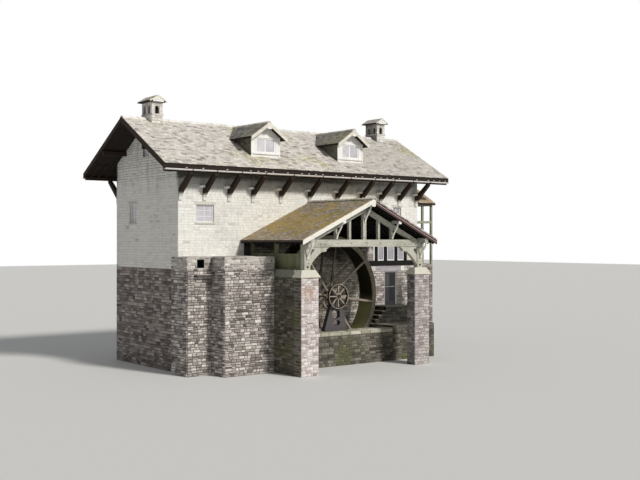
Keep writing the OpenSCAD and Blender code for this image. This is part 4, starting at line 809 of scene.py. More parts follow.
def white_walls():
    """Limewashed coursed stones of the four walls."""
    foot, band_z = HIGH["abutment"].z, HIGH["band_studs"].z
    outline = [(-HALF_W, foot), (-SIDE_X, foot), (-SIDE_X, porch_z(SIDE_X)), (0, PORCH_RIDGE_Z),
               ((PORCH_RIDGE_Z - band_z) / PORCH_SLOPE, band_z), (HALF_W, band_z), (HALF_W, WALL_TOP),
               (-HALF_W, WALL_TOP)]
    ends = []
    for (place, holes), a, b, ridge in ((LEFT, -DEPTH, 0, -MID_Y), (RIGHT, 0, DEPTH, MID_Y)):
        gable = [(a, BARE_Z), (b, BARE_Z), (b, WALL_TOP), (ridge, RIDGE_Z - ROOF_V), (a, WALL_TOP)]
        ends.append((place, gable, holes))
    back = rectangle(-HALF_W, HALF_W, BARE_Z, WALL_TOP)
    for seed, side, faces in ((11, "front", [(FRONT[0], outline, FRONT[1])]), (12, "ends", ends),
                              (13, "back", [(BACK[0], back, BACK[1])])):
        laid(seed, "white_stones_" + side, "whitewash", "limewashed_stone", faces, course=0.145,
             width=(0.2, 0.46), relief=0.013, bevel=0.016, gap=0.004, smooth=True)


def bare_walls():
    """Natural rubble of the house's lower walls and behind the wheel, and the door lintel's pale ends."""
    low, entry, beam_z = HIGH["platform"].z, HIGH["entrance_steps"].z, LOW["black_beam"].z
    x0, x1, x2, x3 = LOW["platform"].x, LOW["entrance_steps"].x, HIGH["entrance_steps"].x, HIGH["platform"].x
    lintel_low, lintel_high = LOW["door_lintel"], HIGH["door_lintel"]
    door_x0, door_x1, studs_x = 5.7, 6.7, 4.81
    small = dict(course=0.15, width=(0.18, 0.46))
    outline = [(-PIT_X, 0), (x0, 0), (x0, low), (x1, low), (x1, entry), (SIDE_X, entry)]
    outline += [(x, porch_z(x) - PORCH_V) for x in (SIDE_X, 0, -PIT_X)]
    laid(21, "bare_stones_behind_wheel", "inner_stone", "stone", [(FRONT[0], outline)], relief=0.030, **small)
    outline = [(SIDE_X, entry), (x2, entry), (x2, low), (x3, low), (x3, 0), (HALF_W, 0), (HALF_W, beam_z),
               (SIDE_X, beam_z)]
    holes = [(door_x0, door_x1, entry, lintel_low.z),
             (lintel_low.x, lintel_high.x, lintel_low.z, lintel_high.z)]
    laid(22, "bare_stones_by_door", "door_stone", "stone", [(FRONT[0], outline, holes)], relief=0.024,
         **small)
    outline = rectangle(SIDE_X, studs_x, HIGH["black_beam"].z, HIGH["band_studs"].z - 0.02)
    laid(26, "band_filler", "bare_stone", "stone", [(FRONT[0], outline)], relief=0.018, **small)

    pile = Pile(25)
    for a, b in ((lintel_low.x + 0.005, 4.96), (lintel_high.x - 0.30, lintel_high.x - 0.005)):
        pile.block(front_of(lintel_low.y), a, b, lintel_low.z + 0.005, lintel_high.z - 0.005, BURIED, 0.022,
                   0.014)
    pile.done("lintel_ends", "pale_stone", "cap_stone")

    laid(23, "bare_stones_ends", "bare_stone", "stone",
         [(LEFT[0], rectangle(-DEPTH, 0, 0, BARE_Z)),
          (RIGHT[0], rectangle(HIGH["gallery_base"].y, DEPTH, 0, BARE_Z))])
    laid(24, "bare_stones_back", "bare_stone", "stone", [(BACK[0], rectangle(-HALF_W, HALF_W, 0, BARE_Z))])


def abutment_stones():
    """Rubble, sluice and flags of the abutment at the left end."""
    x0, x1, out, top = LOW["abutment"].x, HIGH["abutment"].x, -LOW["abutment"].y, HIGH["abutment"].z
    recess_x, recess = -7.4, 1.6
    sluice, slab = (-8.25, -7.82, 5.39, 5.82), (-8.40, recess_x, 4.97, 5.07)
    laid(31, "bare_stones_abutment", "rough_stone", "stone", [
        (front_of(-out), rectangle(recess_x, x1, 0, top)),
        (front_of(-recess), rectangle(x0, recess_x, 0, top), [sluice, slab]),
        (left_of(recess_x), rectangle(recess, out, 0, top)),
        (left_of(x0), rectangle(0, recess, 0, top)),
        (right_of(x1), rectangle(-out, 0, HIGH["pillar_caps"].z, top)),
        (back_of(0), rectangle(HALF_W, -x0, 0, top)),
    ], course=0.145, width=(0.14, 0.42), relief=0.034, bevel=0.022, gap=0.009, thin=0.25)

    pile = Pile(36)
    pile.lay(top_of(top), [(x0, -recess), (recess_x, -recess), (recess_x, -out), (x1, -out), (x1, -0.02),
                           (x0, -0.02)],
             course=0.42, width=(0.35, 0.75), relief=0.022, bevel=0.02, gap=0.01, thin=0)
    pile.block(top_of(slab[3]), slab[0] - 0.02, slab[1] - 0.01, -recess - 0.30, -recess - 0.02, -0.02, 0.012,
               0.01)
    pile.done("abutment_flags", "rough_stone", "stone")


def low_stones():
    """Rubble, flags and treads of the pillars, low wall, pit wall, platform and gallery base."""
    front, back, z = -LOW["pillars"].y, -HIGH["pillars"].y, HIGH["pillars"].z
    dress = dict(course=0.15, width=(0.14, 0.40), relief=0.022, thin=0.25)
    inner_x, faces = SIDE_X - 1.08, []
    for x0, x1, holes in ((-SIDE_X, -inner_x, [(PIT_X, SIDE_X, 0, z)]), (inner_x, SIDE_X, [])):
        faces += [(front_of(-front), rectangle(x0, x1, 0, z)),
                  (back_of(-back), rectangle(-x1, -x0, 0, z), holes),
                  (right_of(x1), rectangle(-front, -back, 0, z))]
    laid(33, "pillar_stones", "washed_stone", "stone", faces, **dress)
    # Painted shade: the right pillar's left face is laid in darker stone.
    laid(39, "pillar_side_stones", "grey_stone", "stone", [(left_of(inner_x), rectangle(back, front, 0, z))],
         **dress)

    pit_x, pit_front, pit_back = HIGH["pit_wall"].x, LOW["pit_wall"].y, HIGH["pit_wall"].y
    pit_z, x1, low = HIGH["pit_wall"].z, HIGH["platform"].x, HIGH["platform"].z
    # Damp and painted shade: dark stone on the low wall's left face and round the pit and platform.
    laid(34, "bare_stones_low", "damp_stone", "stone", [
        (left_of(-SIDE_X), rectangle(-LOW["abutment"].y, front, 0, z)),
        (right_of(-PIT_X), rectangle(-back, 0, 0, z), [(pit_front, pit_back, 0, pit_z)]),
        (front_of(pit_front), rectangle(-PIT_X, pit_x, 0, pit_z - 0.22)),
        (back_of(pit_back), rectangle(-pit_x, PIT_X, 0, pit_z - 0.02)),
        (front_of(pit_front), rectangle(pit_x, x1, 0, low)),
        (right_of(x1), rectangle(pit_front, 0, 0, low)),
        (left_of(pit_x), rectangle(0, -pit_back, 0, low)),
    ])

    sides, flags = Pile(38), Pile(32)
    step_x0, step_x1, step_y = LOW["entrance_steps"].x, HIGH["entrance_steps"].x, LOW["entrance_steps"].y
    flags.lay(top_of(low), [(pit_x, pit_front), (x1, pit_front), (x1, 0), (step_x1, 0), (step_x1, step_y),
                            (step_x0, step_y), (step_x0, 0), (pit_x, 0)], **FLAGS)
    rise, run, count = 0.24, 0.28, 4
    for i in range(count):
        x, z0, last = step_x0 + i * run, low + i * rise, i == count - 1
        under = z0 + rise - 0.05
        sides.lay(left_of(x), rectangle(0, -step_y, z0, under), course=0.2, relief=0.012)
        sides.lay(front_of(step_y), rectangle(x, step_x1 if last else x + run, low, under), course=0.14,
                  relief=0.018)
        flags.block(top_of(z0 + rise), x - 0.035, step_x1 + 0.02 if last else x + run - 0.012, step_y - 0.035,
                    -0.01, -0.055, 0.012, 0.014)
    sides.lay(right_of(step_x1), rectangle(step_y, 0, low, under), course=0.14, relief=0.018)
    sides.done("step_stones", "shade_stone", "stone")
    flags.done("platform_flags", "paving", "stone")

    pile = Pile(37)
    stand_low, stand_high = LOW["bearing_stand"], HIGH["bearing_stand"]
    pile.lay(top_of(pit_z), rectangle(-PIT_X, pit_x, pit_front - 0.025, pit_back),
             [(-stand_high.x - 0.02, stand_high.x + 0.02, stand_low.y - 0.02, stand_high.y + 0.02)], **FLAGS)
    pile.lay(front_of(pit_front), rectangle(-PIT_X, pit_x, pit_z - 0.21, pit_z), course=0.3, width=(0.5, 0.9),
             relief=0.03, gap=0.01, thin=0)
    pile.done("pit_coping", "coping_stone", "cap_stone")

    x0, x1, y1 = HALF_W + 0.03, HIGH["gallery_base"].x, HIGH["gallery_base"].y
    laid(35, "bare_stones_gallery", "bare_stone", "stone",
         [(FRONT[0], rectangle(x0, x1, 0, BARE_Z)), (right_of(x1), rectangle(0, y1, 0, BARE_Z)),
          (back_of(y1), rectangle(-x1, -x0, 0, BARE_Z))])


def main_roof():
    """Slates, ridge tiles, rafters and verge boards of the main roof."""
    c, s = math.cos(PITCH), math.sin(PITCH)
    length = (MID_Y + EAVE_OUT) / c
    dormer_v0, dormer_v1, chimney_v = [(EAVE_OUT + y) / c for y in (0.02, 1.87, 2.95)]
    gaps = [(x - CHIMNEY_HALF_W, x + CHIMNEY_HALF_W) for x in (-CHIMNEY_X, CHIMNEY_X)]
    holes = [(a, b, chimney_v, length) for a, b in gaps]
    dormer_holes = [(x - 0.93, x + 0.93, dormer_v0, dormer_v1) for x in (-DORMER_X, DORMER_X)]
    front = face((0, -EAVE_OUT, EAVE_Z), X_AXIS, Vector((0, c, s)))
    back = face((0, DEPTH + EAVE_OUT, EAVE_Z), -X_AXIS, Vector((0, -c, s)))
    for seed, name, place, cut in ((41, "slates_front", front, holes + dormer_holes),
                                   (42, "slates_back", back, holes)):
        pile = Pile(seed)
        pile.shingle(place, rectangle(-ROOF_HALF, ROOF_HALF, 0, length - 0.10), cut, 0.155, (0.18, 0.34),
                     0.014, 0.014)
        pile.done(name, "slates", "slate")

    pile = Pile(43)
    pile.caps(face((0, MID_Y, RIDGE_Z), Y_AXIS, Z_AXIS), 0.21, PITCH, -ROOF_HALF, ROOF_HALF, 0.46, gaps)
    pile.done("ridge_covers", "ridge_lime", "ridge")

    pile = Pile(44)
    board_h, board_t, purlin = 0.27, 0.035, 0.18
    for place, turn in ((left_of(-ROOF_HALF), -1), (right_of(ROOF_HALF), 1)):
        for low in (-EAVE_OUT, DEPTH + EAVE_OUT):
            board = slanted(turn * low, EAVE_Z - 0.02, turn * MID_Y, RIDGE_Z - 0.02, board_h)
            pile.prism(place, board, -0.002, board_t)
        for y in (MID_Y - purlin / 2, 1.1, DEPTH - 1.1 - purlin):
            z = min(roof_z(y), roof_z(DEPTH - y - purlin)) - ROOF_V - 0.015
            pile.block(place, turn * y, turn * (y + purlin), z - 0.22, z, HALF_W - ROOF_HALF + 0.01, -0.03,
                       0.012)
    rafter = slanted(0.02, WALL_TOP - 0.012, EAVE_OUT - 0.075, EAVE_Z - ROOF_V + 0.031, 0.095)
    for x in steps_of(0.35 - ROOF_HALF, ROOF_HALF - 0.3, 0.45):
        pile.prism(left_of(x), rafter, -0.035, 0.035)
        pile.prism(face((x, DEPTH, 0), Y_AXIS, Z_AXIS), rafter, -0.035, 0.035)
    pile.done("rafters_and_verges", "bark_x", "dark_timber")


def gutter_fittings():
    """Brackets and joint collars of the gutters, and the pale straps above them."""
    radius, top, out = 0.075, HIGH["gutters"].z, -LOW["gutters"].y
    bend = [math.pi * (1 + k / 10) for k in range(11)]

    def half_ring(outer, thick):
        return [(r * math.cos(a), r * math.sin(a))
                for r, turns in ((outer, bend), (outer - thick, bend[::-1])) for a in turns]

    dark, pale, straps = Pile(51), Pile(52), Pile(53)
    for y, near, wall in ((radius - out, 1, front_of(-EAVE_OUT)),
                          (DEPTH + out - radius, -1, back_of(DEPTH + EAVE_OUT))):
        section = face((0, y, top), Y_AXIS, Z_AXIS)
        for x in STRUT_XS:
            dark.prism(section, half_ring(radius + 0.012, 0.014), x - 0.025, x + 0.025)
            dark.block(top_of(top), x - 0.02, x + 0.02, y + near * (radius - 0.01),
                       y + near * (radius + 0.10), -0.035, 0.0, 0.004)
        for x in steps_of(-9.0, 9.2, 1.83):
            pale.prism(section, half_ring(radius + 0.007, 0.010), x - 0.045, x + 0.045)
        for x in steps_of(-9.6, 9.7, 0.48):
            if straps.random.random() < 0.6:
                straps.block(wall, x - 0.05, x + 0.05, top + 0.05, top + 0.085, -0.002, 0.014, 0.004)
    dark.done("gutter_brackets", "dark_iron", "iron")
    pale.done("gutter_joints", "gutter", "gutter")
    straps.done("gutter_straps", "cream_paint", "white_paint")


def corbels_and_sills():
    """Small pale stones beside the struts, and sills and lintels of the plain windows."""
    sills, corbels = Pile(61), Pile(62)
    foot = 9.53
    for place in (FRONT[0], BACK[0]):
        for x in STRUT_XS[1:]:
            corbels.block(place, x - 0.30, x - 0.105, foot, foot + 0.12, -0.01, 0.32, 0.02, 1)
    for place, holes in (FRONT, BACK, LEFT, RIGHT):
        for a, b, low, high in holes:
            sills.block(place, a - 0.08, b + 0.08, low - 0.09, low + 0.005, -0.08, 0.06, 0.012)
            sills.block(place, a - 0.12, b + 0.12, high, high + 0.17, -0.02, 0.022, 0.012)
    sills.done("window_sills", "pale_stone", "cap_stone")
    corbels.done("corbels", "white_lime", "cap_stone")


def dormers():
    """Boards, trims, cheeks, roofs and window bars of the two dormers."""
    boards, cheeks, roof, ridges = Pile(71), Pile(72), Pile(73), Pile(74)
    sill, head, window_half, half = 11.5617, 12.3417, 0.625, DORMER_HALF
    top = DORMER_RIDGE_Z - 0.1099
    cheek_foot, cheek_top = 11.33, top - half * math.tan(DORMER_PITCH)
    c, s = math.cos(DORMER_PITCH), math.sin(DORMER_PITCH)
    eave_z = DORMER_RIDGE_Z - DORMER_ROOF_HALF * math.tan(DORMER_PITCH)
    slope = DORMER_ROOF_HALF / c - 0.02

    def back_at(z):
        return (z - roof_z(0)) / math.tan(PITCH)

    gable = [(-half, head + 0.06), (half, head + 0.06), (half, cheek_top - 0.02), (0, top - 0.03),
             (-half, cheek_top - 0.02)]
    trims = []
    for side in (-1, 1):
        trims += [(side * (window_half + 0.03), side * half, sill - 0.06, head + 0.055, BURIED, 0.030),
                  (side * (half - 0.085), side * (half + 0.012), cheek_foot, cheek_top, BURIED, 0.045)]
    trims += [(-half, half, sill - 0.10, sill - 0.02, -0.01, 0.085, 0.012),
              (0.02 - half, half - 0.02, head, head + 0.07, BURIED, 0.04),
              (-0.04, 0.04, sill + 0.02, head, -0.15, -0.03)]
    trims += [(u - 0.010, u + 0.010, sill + 0.03, head - 0.02, -0.15, -0.118, 0.003)
              for u in (-window_half / 2, window_half / 2)]
    trims += [(-0.14, 0.14, top - 0.27, top + 0.08, DORMER_OUT + 0.002, DORMER_OUT + 0.03, 0.01)]
    for mid in (-DORMER_X, DORMER_X):
        place = face((mid, 0, 0), X_AXIS, Z_AXIS)
        boards.lay(place, gable, course=0.17, width=(4, 5), relief=0.016, bevel=0.006, gap=0.002, **BOARDS)
        for trim in trims:
            boards.block(place, *trim)
        for turn, across in ((-1, left_of(mid - half)), (1, right_of(mid + half))):
            # Painted shade: the cheeks take the dark cheek slates.
            ring = [(0, roof_z(0) + 0.02), (turn * back_at(cheek_top), cheek_top), (0, cheek_top)]
            cheeks.prism(across, ring, -0.003, 0.007, 0.1)
            cheeks.shingle(across, ring, (), 0.16, (0.16, 0.26), 0.010, 0.008, 0.0)
            slope_face = face((mid + turn * DORMER_ROOF_HALF, 0, eave_z), Y_AXIS * turn,
                              Vector((-turn * c, 0, s)))
            ring = [(-turn * DORMER_OUT, 0), (turn * (back_at(eave_z) + 0.05), 0),
                    (turn * (back_at(DORMER_RIDGE_Z) - 0.05), slope), (-turn * DORMER_OUT, slope)]
            roof.shingle(slope_face, ring, (), 0.16, (0.18, 0.32), 0.011, 0.010, 0.02)
        ridges.caps(face((mid, 0, DORMER_RIDGE_Z), X_AXIS, Z_AXIS), 0.15, DORMER_PITCH,
                    0.12 - back_at(DORMER_RIDGE_Z), DORMER_OUT + 0.03, 0.40)
    boards.done("dormer_boards", "white_paint", "white_paint")
    cheeks.done("dormer_cheeks", "cheek_slates", "slate")
    roof.done("dormer_slates", "dark_slates", "slate")
    ridges.done("dormer_ridges", "ridge_clay", "ridge")


def chimney_dressing():
    """Stones, string courses, flue blocks, trims and slates of the two chimneys; the flue blocks are black
    for soot and painted shade in the openings, and the right chimney's left face is darker stone for painted
    shade.
    """
    stones, roof, trims, flue_shade, shaded_side = Pile(81), Pile(82), Pile(83), Pile(84), Pile(85)
    foot, base, top, head = 13.05, 13.57, 14.22, 14.08
    y0, y1, wide, deep = MID_Y - CHIMNEY_HALF_D, MID_Y + CHIMNEY_HALF_D, CHIMNEY_HALF_W, CHIMNEY_HALF_D
    hole_half, hole_off, flue_off = 0.15, 0.25, 0.21
    roof_half, roof_out, edge_z = 0.5, 0.7, top + 0.071
    rise = HIGH["chimney_roofs"].z - edge_z
    slope = math.hypot(roof_half, rise)
    for mid in (-CHIMNEY_X, CHIMNEY_X):
        for place, u, half, holes in ((front_of(y0), mid, wide, [0]), (back_of(y1), -mid, wide, [0]),
                                      (left_of(mid - wide), -MID_Y, deep, [-hole_off, hole_off]),
                                      (right_of(mid + wide), MID_Y, deep, [-hole_off, hole_off])):
            side = half == deep
            edge = [(u - half, foot)] + ([(u, RIDGE_Z)] if side else []) + [(u + half, foot)]
            # Painted shade: the right chimney's left face goes into the darker pile.
            into = shaded_side if side and mid > 0 > u else stones
            into.lay(place, edge + [(u + half, base - 0.04), (u - half, base - 0.04)], course=0.15,
                     width=(0.2, 0.4), relief=0.02)
            into.lay(place, rectangle(u - half, u + half, base + 0.02, top),
                     [(u + k - hole_half, u + k + hole_half, base + 0.02, head) for k in holes],
                     width=(0.16, 0.3), relief=0.016)
            stones.block(place, u - half - 0.035, u + half + 0.035, base - 0.05, base + 0.025, -0.01, 0.035,
                         0.01)
        # Black blocks inside the heads stand for the flues' soot and painted shade seen through the openings.
        for y in (MID_Y - flue_off, MID_Y + flue_off):
            flue_shade.block(top_of(base), mid - 0.18, mid + 0.18, y - 0.19, y + 0.19, -0.002, top - base - 0.02,
                        0.03)
        for turn in (-1, 1):
            place = face((mid + turn * roof_half, 0, edge_z), Y_AXIS * turn,
                         Vector((-turn * roof_half, 0, rise)) / slope)
            a, b = sorted((turn * (MID_Y - roof_out), turn * (MID_Y + roof_out)))
            roof.shingle(place, rectangle(a, b, 0, slope - 0.01), (), 0.14, (0.16, 0.28), 0.010, 0.008, 0.015)
            for gable, u in ((front_of(MID_Y - roof_out), mid), (back_of(MID_Y + roof_out), -mid)):
                edge, board_top = u + turn * wide, edge_z + rise - 0.005
                board = slanted(u + turn * (roof_half + 0.01), edge_z - 0.005, u, board_top, 0.07)
                trims.prism(gable, board, -0.002, 0.028)
                stones.prism(gable, [(u, top + 0.01), (edge, top + 0.01), (edge, edge_z + rise * 0.34 - 0.07),
                                     (u, edge_z + rise - 0.07)], -0.002, 0.014, 0.9)
    stones.done("chimney_stones", "chimney_stone", "chimney_stone")
    shaded_side.done("chimney_side_stones", "grey_stone", "chimney_stone")
    trims.done("chimney_trims", "cream_paint", "white_paint")
    flue_shade.done("chimney_flue_shade", "black_timber", "dark_timber")
    roof.done("chimney_slates", "slates", "slate")


def porch_roof():
    """Mossy tiles, ridge, verges, eaves fillets and rafters of the porch."""
    c, s = math.cos(PORCH_PITCH), math.sin(PORCH_PITCH)
    length = PORCH_HALF / c
    edges, rafters, verge, bed, fillets = Pile(95), Pile(94), Pile(96), Pile(97), Pile(98)
    across, under, tile_run = FRONT[0], PORCH_V + 0.004, 0.115
    for name, turn, seed, strips in (("porch_tiles_left", -1, 91, ((0.01, 0.075),)),
                                     ("porch_tiles_right", 1, 92, ((0.01, 0.035), (0.10, 0.045)))):
        place = face((turn * PORCH_HALF, 0, PORCH_EAVE_Z), Y_AXIS * turn, Vector((-turn * c, 0, s)))
        a, b = sorted((turn * -PORCH_OUT, turn * -0.02))
        pile = Pile(seed)
        pile.shingle(place, rectangle(a, b, 0, length - 0.05), (), tile_run, (0.14, 0.19), 0.013, 0.012)
        pile.done(name, "mossy_tiles", "tiles")
        fillets.block(across, turn * (PORCH_HALF - 0.005), turn * (PORCH_HALF + 0.018), PORCH_EAVE_Z - 0.075,
                      PORCH_EAVE_Z - 0.003, 0.03, PORCH_OUT, 0.006)
        beam = slanted(turn * 4.56, porch_z(4.56) - under, turn * 0.05, porch_z(0.05) - under, 0.08)
        for y in steps_of(0.25, PORCH_OUT - 0.16, 0.42):
            rafters.prism(across, beam, y, y + 0.055)
        for down, deep in strips:
            strip = slanted(turn * PORCH_HALF, PORCH_EAVE_Z - down, turn * 0.13, porch_z(0.13) - down, deep)
            edges.prism(front_of(-PORCH_OUT), strip, -0.003, 0.016)
    edges.done("porch_edge_strips", "verge_strips", "white_paint")
    rafters.done("porch_rafters", "black_timber", "dark_timber")
    fillets.done("porch_eave_fillets", "eave_clay", "tiles")

    ridge_axis, wing = face((0, 0, PORCH_RIDGE_Z), X_AXIS, Z_AXIS), 0.135
    pile = Pile(93)
    pile.caps(ridge_axis, 0.16, PORCH_PITCH, 0.02, PORCH_OUT + 0.03, 0.36, bed=0.035)
    pile.done("porch_ridge_covers", "ridge_clay", "ridge")
    # Painted shade: the black bed under the ridge tiles stands for their shadow on the tiles.
    profile = [(u * wing * c, lift - abs(u) * wing * s)
               for lift, us in ((0.01, (-1, 0, 1)), (0.05, (1, 0, -1))) for u in us]
    bed.prism(ridge_axis, profile, 0.02, PORCH_OUT + 0.01)
    bed.done("porch_ridge_shaded_bed", "black_timber", "dark_timber")
    place = face((PORCH_HALF, -PORCH_OUT, PORCH_EAVE_Z), Y_AXIS, Vector((-c, 0, s)))
    for v in steps_of(0.02, length - 0.24, tile_run):
        low = verge.random.uniform(-0.006, 0.006) - 0.035
        verge.block(place, -0.055, 0.05, v, v + 0.125, low, 0.035, 0.008)
    verge.done("porch_verge_tiles", "verge_clay", "tiles")


def porch_fittings():
    """Pegs, bolts, brace noses, purlin ends and left side's planks of the porch."""
    pegs, planks, ends, noses = Pile(101), Pile(102), Pile(103), Pile(104)
    truss, studs = front_of(LOW["tie_beam"].y), front_of(LOW["king_post_and_studs"].y)
    tie_low, tie_high = LOW["tie_beam"].z, HIGH["tie_beam"].z
    peg, purlin_x = (0.024, 0.022, 8), 1.92
    joints = [(u, tie_high - 0.17) for u in (-0.06, 0.06)]
    for u in (-0.06, 0.06):
        pegs.bolt(studs, u, tie_high + 0.10, *peg)
    for side in (-1, 1):
        joints += [(side * x, tie_high - 0.20) for x in (1.0, purlin_x)]
        pegs.bolt(studs, side * 1.0, tie_high + 0.08, *peg)
        joints += [(side * x, tie_low + up)
                   for x, up in ((3.55, 0.11), (3.35, 0.25), (2.75, 0.12), (3.05, 0.12))]
        joints += [(side * x, z) for x, z in ((3.80, 5.62), (3.80, 5.80), (3.80, 6.40), (3.96, 6.60))]
        joints += [(side * x, porch_z(x) - 0.50) for x in (0.35, 1.5, 2.6)]
        pegs.bolt(truss, side * 3.87, 5.45, 0.055, 0.035, 10)
    for u, v in joints:
        pegs.bolt(truss, u, v, *peg)
    plank_x, plank_t = -3.90, 0.025
    for y in (4.4, 3.4, 2.4, 1.4, 0.4):
        for z in (5.36, 6.05):
            pegs.bolt(left_of(plank_x - 0.075), y, z, *SMALL_BOLT)
    pegs.done("truss_pegs", "dark_iron", "iron")

    purlin_z, brace_y, brace_back = porch_z(2.0) - PORCH_V - 0.01, LOW["arch_braces"].y, HIGH["arch_braces"].y
    for side in (-1, 1):
        ends.block(front_of(LOW["porch_purlins"].y), side * purlin_x - 0.1, side * purlin_x + 0.1,
                   purlin_z - 0.18, purlin_z, -0.04, 0.05, 0.014)
        nose = [(side * x, tie_low - down)
                for x, down in ((2.95, 0), (2.95, 0.27), (2.66, 0.23), (2.61, 0.11), (2.4, 0))]
        noses.prism(front_of(brace_y), nose, brace_y - brace_back - 0.006, 0.006)
    ends.done("purlin_ends", "white_paint", "white_paint")
    noses.done("brace_noses", "cream_z", "pale_timber")
    for place, a, b in ((left_of(plank_x - plank_t), 0.02, 4.63),
                        (right_of(plank_x + plank_t), -4.63, -0.02)):
        planks.lay(place, rectangle(a, b, 5.42, 5.99), course=1.0, width=(0.15, 0.22), relief=0.014,
                   bevel=0.006, gap=0.003, slant=0.0, **BOARDS)
    planks.done("side_planks", "green_boards", "pale_timber")


def door_fittings():
    """Planks, strip and latch of the entrance door."""
    planks, iron, strip = Pile(105), Pile(106), Pile(107)
    low, high = LOW["door_leaf"], HIGH["door_leaf"]
    place = front_of(low.y)
    middle, rail, edge = (low.x + high.x) / 2, 4.0, 0.095
    for z0, z1 in ((low.z + 0.17, rail - 0.05), (rail + 0.05, high.z - edge)):
        planks.lay(place, rectangle(low.x + edge, high.x - edge, z0, z1), course=2.0, width=(0.10, 0.14),
                   relief=0.004, bevel=0.004, gap=0.003, slant=0.0, **BOARDS)
    planks.block(place, middle - 0.02, middle + 0.02, low.z + 0.02, high.z - 0.02, -0.002, 0.014, 0.004)
    planks.done("door_planks", "door_planks", "grey_paint", "door")
    for x, size in ((high.x - 0.055, 0.022), (middle + 0.045, 0.016)):
        iron.bolt(place, x, rail - 0.08, size, 0.05, 8)
        iron.bolt(place, x, rail - 0.08, size * 1.6, 0.008, 8)
    iron.done("door_latch", "dark_iron", "iron", "door")
    strip.block(place, low.x + 0.02, high.x - 0.02, rail - 0.035, rail - 0.008, -0.002, 0.016, 0.004)
    strip.done("door_strip", "frame_paint", "grey_paint", "door")


def window_bars():
    """Glazing bars of the plain windows and of the band over the door, and the strip at the band's left."""
    pile = Pile(111)
    crossbar = -0.145, -0.112, 0.004
    for place, holes in (FRONT, BACK, LEFT, RIGHT):
        for a, b, low, high in holes:
            mid = (a + b) / 2
            pile.block(place, mid - 0.02, mid + 0.02, low + 0.05, high - 0.05, -0.15, -0.105, 0.004)
            for share in (1 / 3, 2 / 3):
                z = low + (high - low) * share
                pile.block(place, a + 0.05, b - 0.05, z - 0.011, z + 0.011, *crossbar)
    stud_xs = (5.03, 5.78, 6.63, 7.40)
    low, high = LOW["band_studs"].z, HIGH["band_studs"].z
    for left, right in zip(stud_xs, stud_xs[1:]):
        a, b = left + 0.125, right - 0.125
        mid = (a + b) / 2
        pile.block(FRONT[0], mid - 0.014, mid + 0.014, low + 0.06, high - 0.05, -0.15, -0.112, 0.004)
        pile.block(FRONT[0], a + 0.05, b - 0.05, 6.58, 6.61, *crossbar)
    pile.block(FRONT[0], 4.82, 4.905, low + 0.005, high - 0.01, BURIED, 0.02)
    pile.done("window_bars", "white_paint", "white_paint")


def wheel_dressing():
    """Lips, joint plates and bolts of the wheel's rings, arms, hubs and pulley."""
    lips, plates, bolts = Pile(121), Pile(123), Pile(122)
    inner, buckets, arms, pulley_bolts = WHEEL_R - 0.26, 36, 8, 8
    arm_half, segment = 0.055, 15

    def around(r, a):
        return r * math.cos(a), WHEEL_Z + r * math.sin(a)

    for node, near, flip in ((LOW, front_of, 1), (HIGH, back_of, -1)):
        place, hub = near(node["wheel_rims"].y), near(node["wheel_hubs"].y)
        for r0, r1 in ((WHEEL_R - 0.05, WHEEL_R - 0.002), (inner + 0.002, inner + 0.045)):
            for start in range(0, 360, segment):
                turns = [math.radians(start + 0.1 + (segment - 0.2) * i / 6) for i in range(7)]
                ring = [around(r1, a) for a in turns] + [around(r0, a) for a in turns[::-1]]
                lips.prism(place, ring, -0.01, 0.018)
        for k in range(buckets):
            for r in (inner + 0.08, WHEEL_R - 0.09):
                bolts.bolt(place, *around(flip * r, flip * math.radians(360 / buckets * k + 3)), *SMALL_BOLT)
        for k in range(arms):
            a = math.radians(360 / arms * k - 8)
            du, dv = math.cos(a), math.sin(a)

            def at(r, off):
                return flip * (r * du - off * dv), WHEEL_Z + r * dv + off * du

            ends = inner - 0.22, WHEEL_R - 0.055
            plates.prism(place, [at(ends[0], -arm_half), at(ends[1], -arm_half), at(ends[1], arm_half),
                                 at(ends[0], arm_half)], BURIED, 0.022)
            for r in (inner - 0.17, inner - 0.06, inner + 0.08, inner + 0.16):
                bolts.bolt(place, *at(r, 0.03 if r < inner else -0.03), 0.018, 0.038, base=0.02)
            for r in (0.20, 0.29):
                for off in (-0.03, 0.03):
                    bolts.bolt(hub, *at(r, off), 0.018, 0.022)
    for k in range(pulley_bolts):
        turn = math.radians(360 / pulley_bolts * (k + 0.5))
        bolts.bolt(front_of(LOW["wheel_pulley"].y), *around(0.135, turn), 0.014, 0.014)
    lips.done("rim_lips", "rim_iron", "wheel_iron", "water_wheel")
    plates.done("arm_plates", "arm_iron", "wheel_iron", "water_wheel")
    bolts.done("wheel_bolts", "dark_iron", "iron", "water_wheel")


def stand_fittings():
    """Bolts and lugs of the two bearings and of the stand's foot."""
    pile = Pile(131)
    foot_y0, foot_y1, foot_out = LOW["bearing_stand"].y, HIGH["bearing_stand"].y, 0.04
    for place in (front_of(foot_y0 + foot_out), front_of(LOW["wall_bearing"].y)):
        for x in (-0.27, 0.27):
            pile.block(place, x - 0.06, x + 0.06, 3.42, 3.67, BURIED, 0.012, 0.006)
            for z in (3.47, 3.62):
                pile.bolt(place, x, z, 0.026, 0.03)
    foot = top_of(HIGH["pit_wall"].z + 0.09)
    for x in (-0.30, -0.72, 0.30, 0.72):
        for y in (foot_y0 + 0.022, foot_y1 - 0.022):
            pile.bolt(foot, x, y, 0.018, 0.03)
    pile.done("bearing_bolts", "dark_iron", "iron")


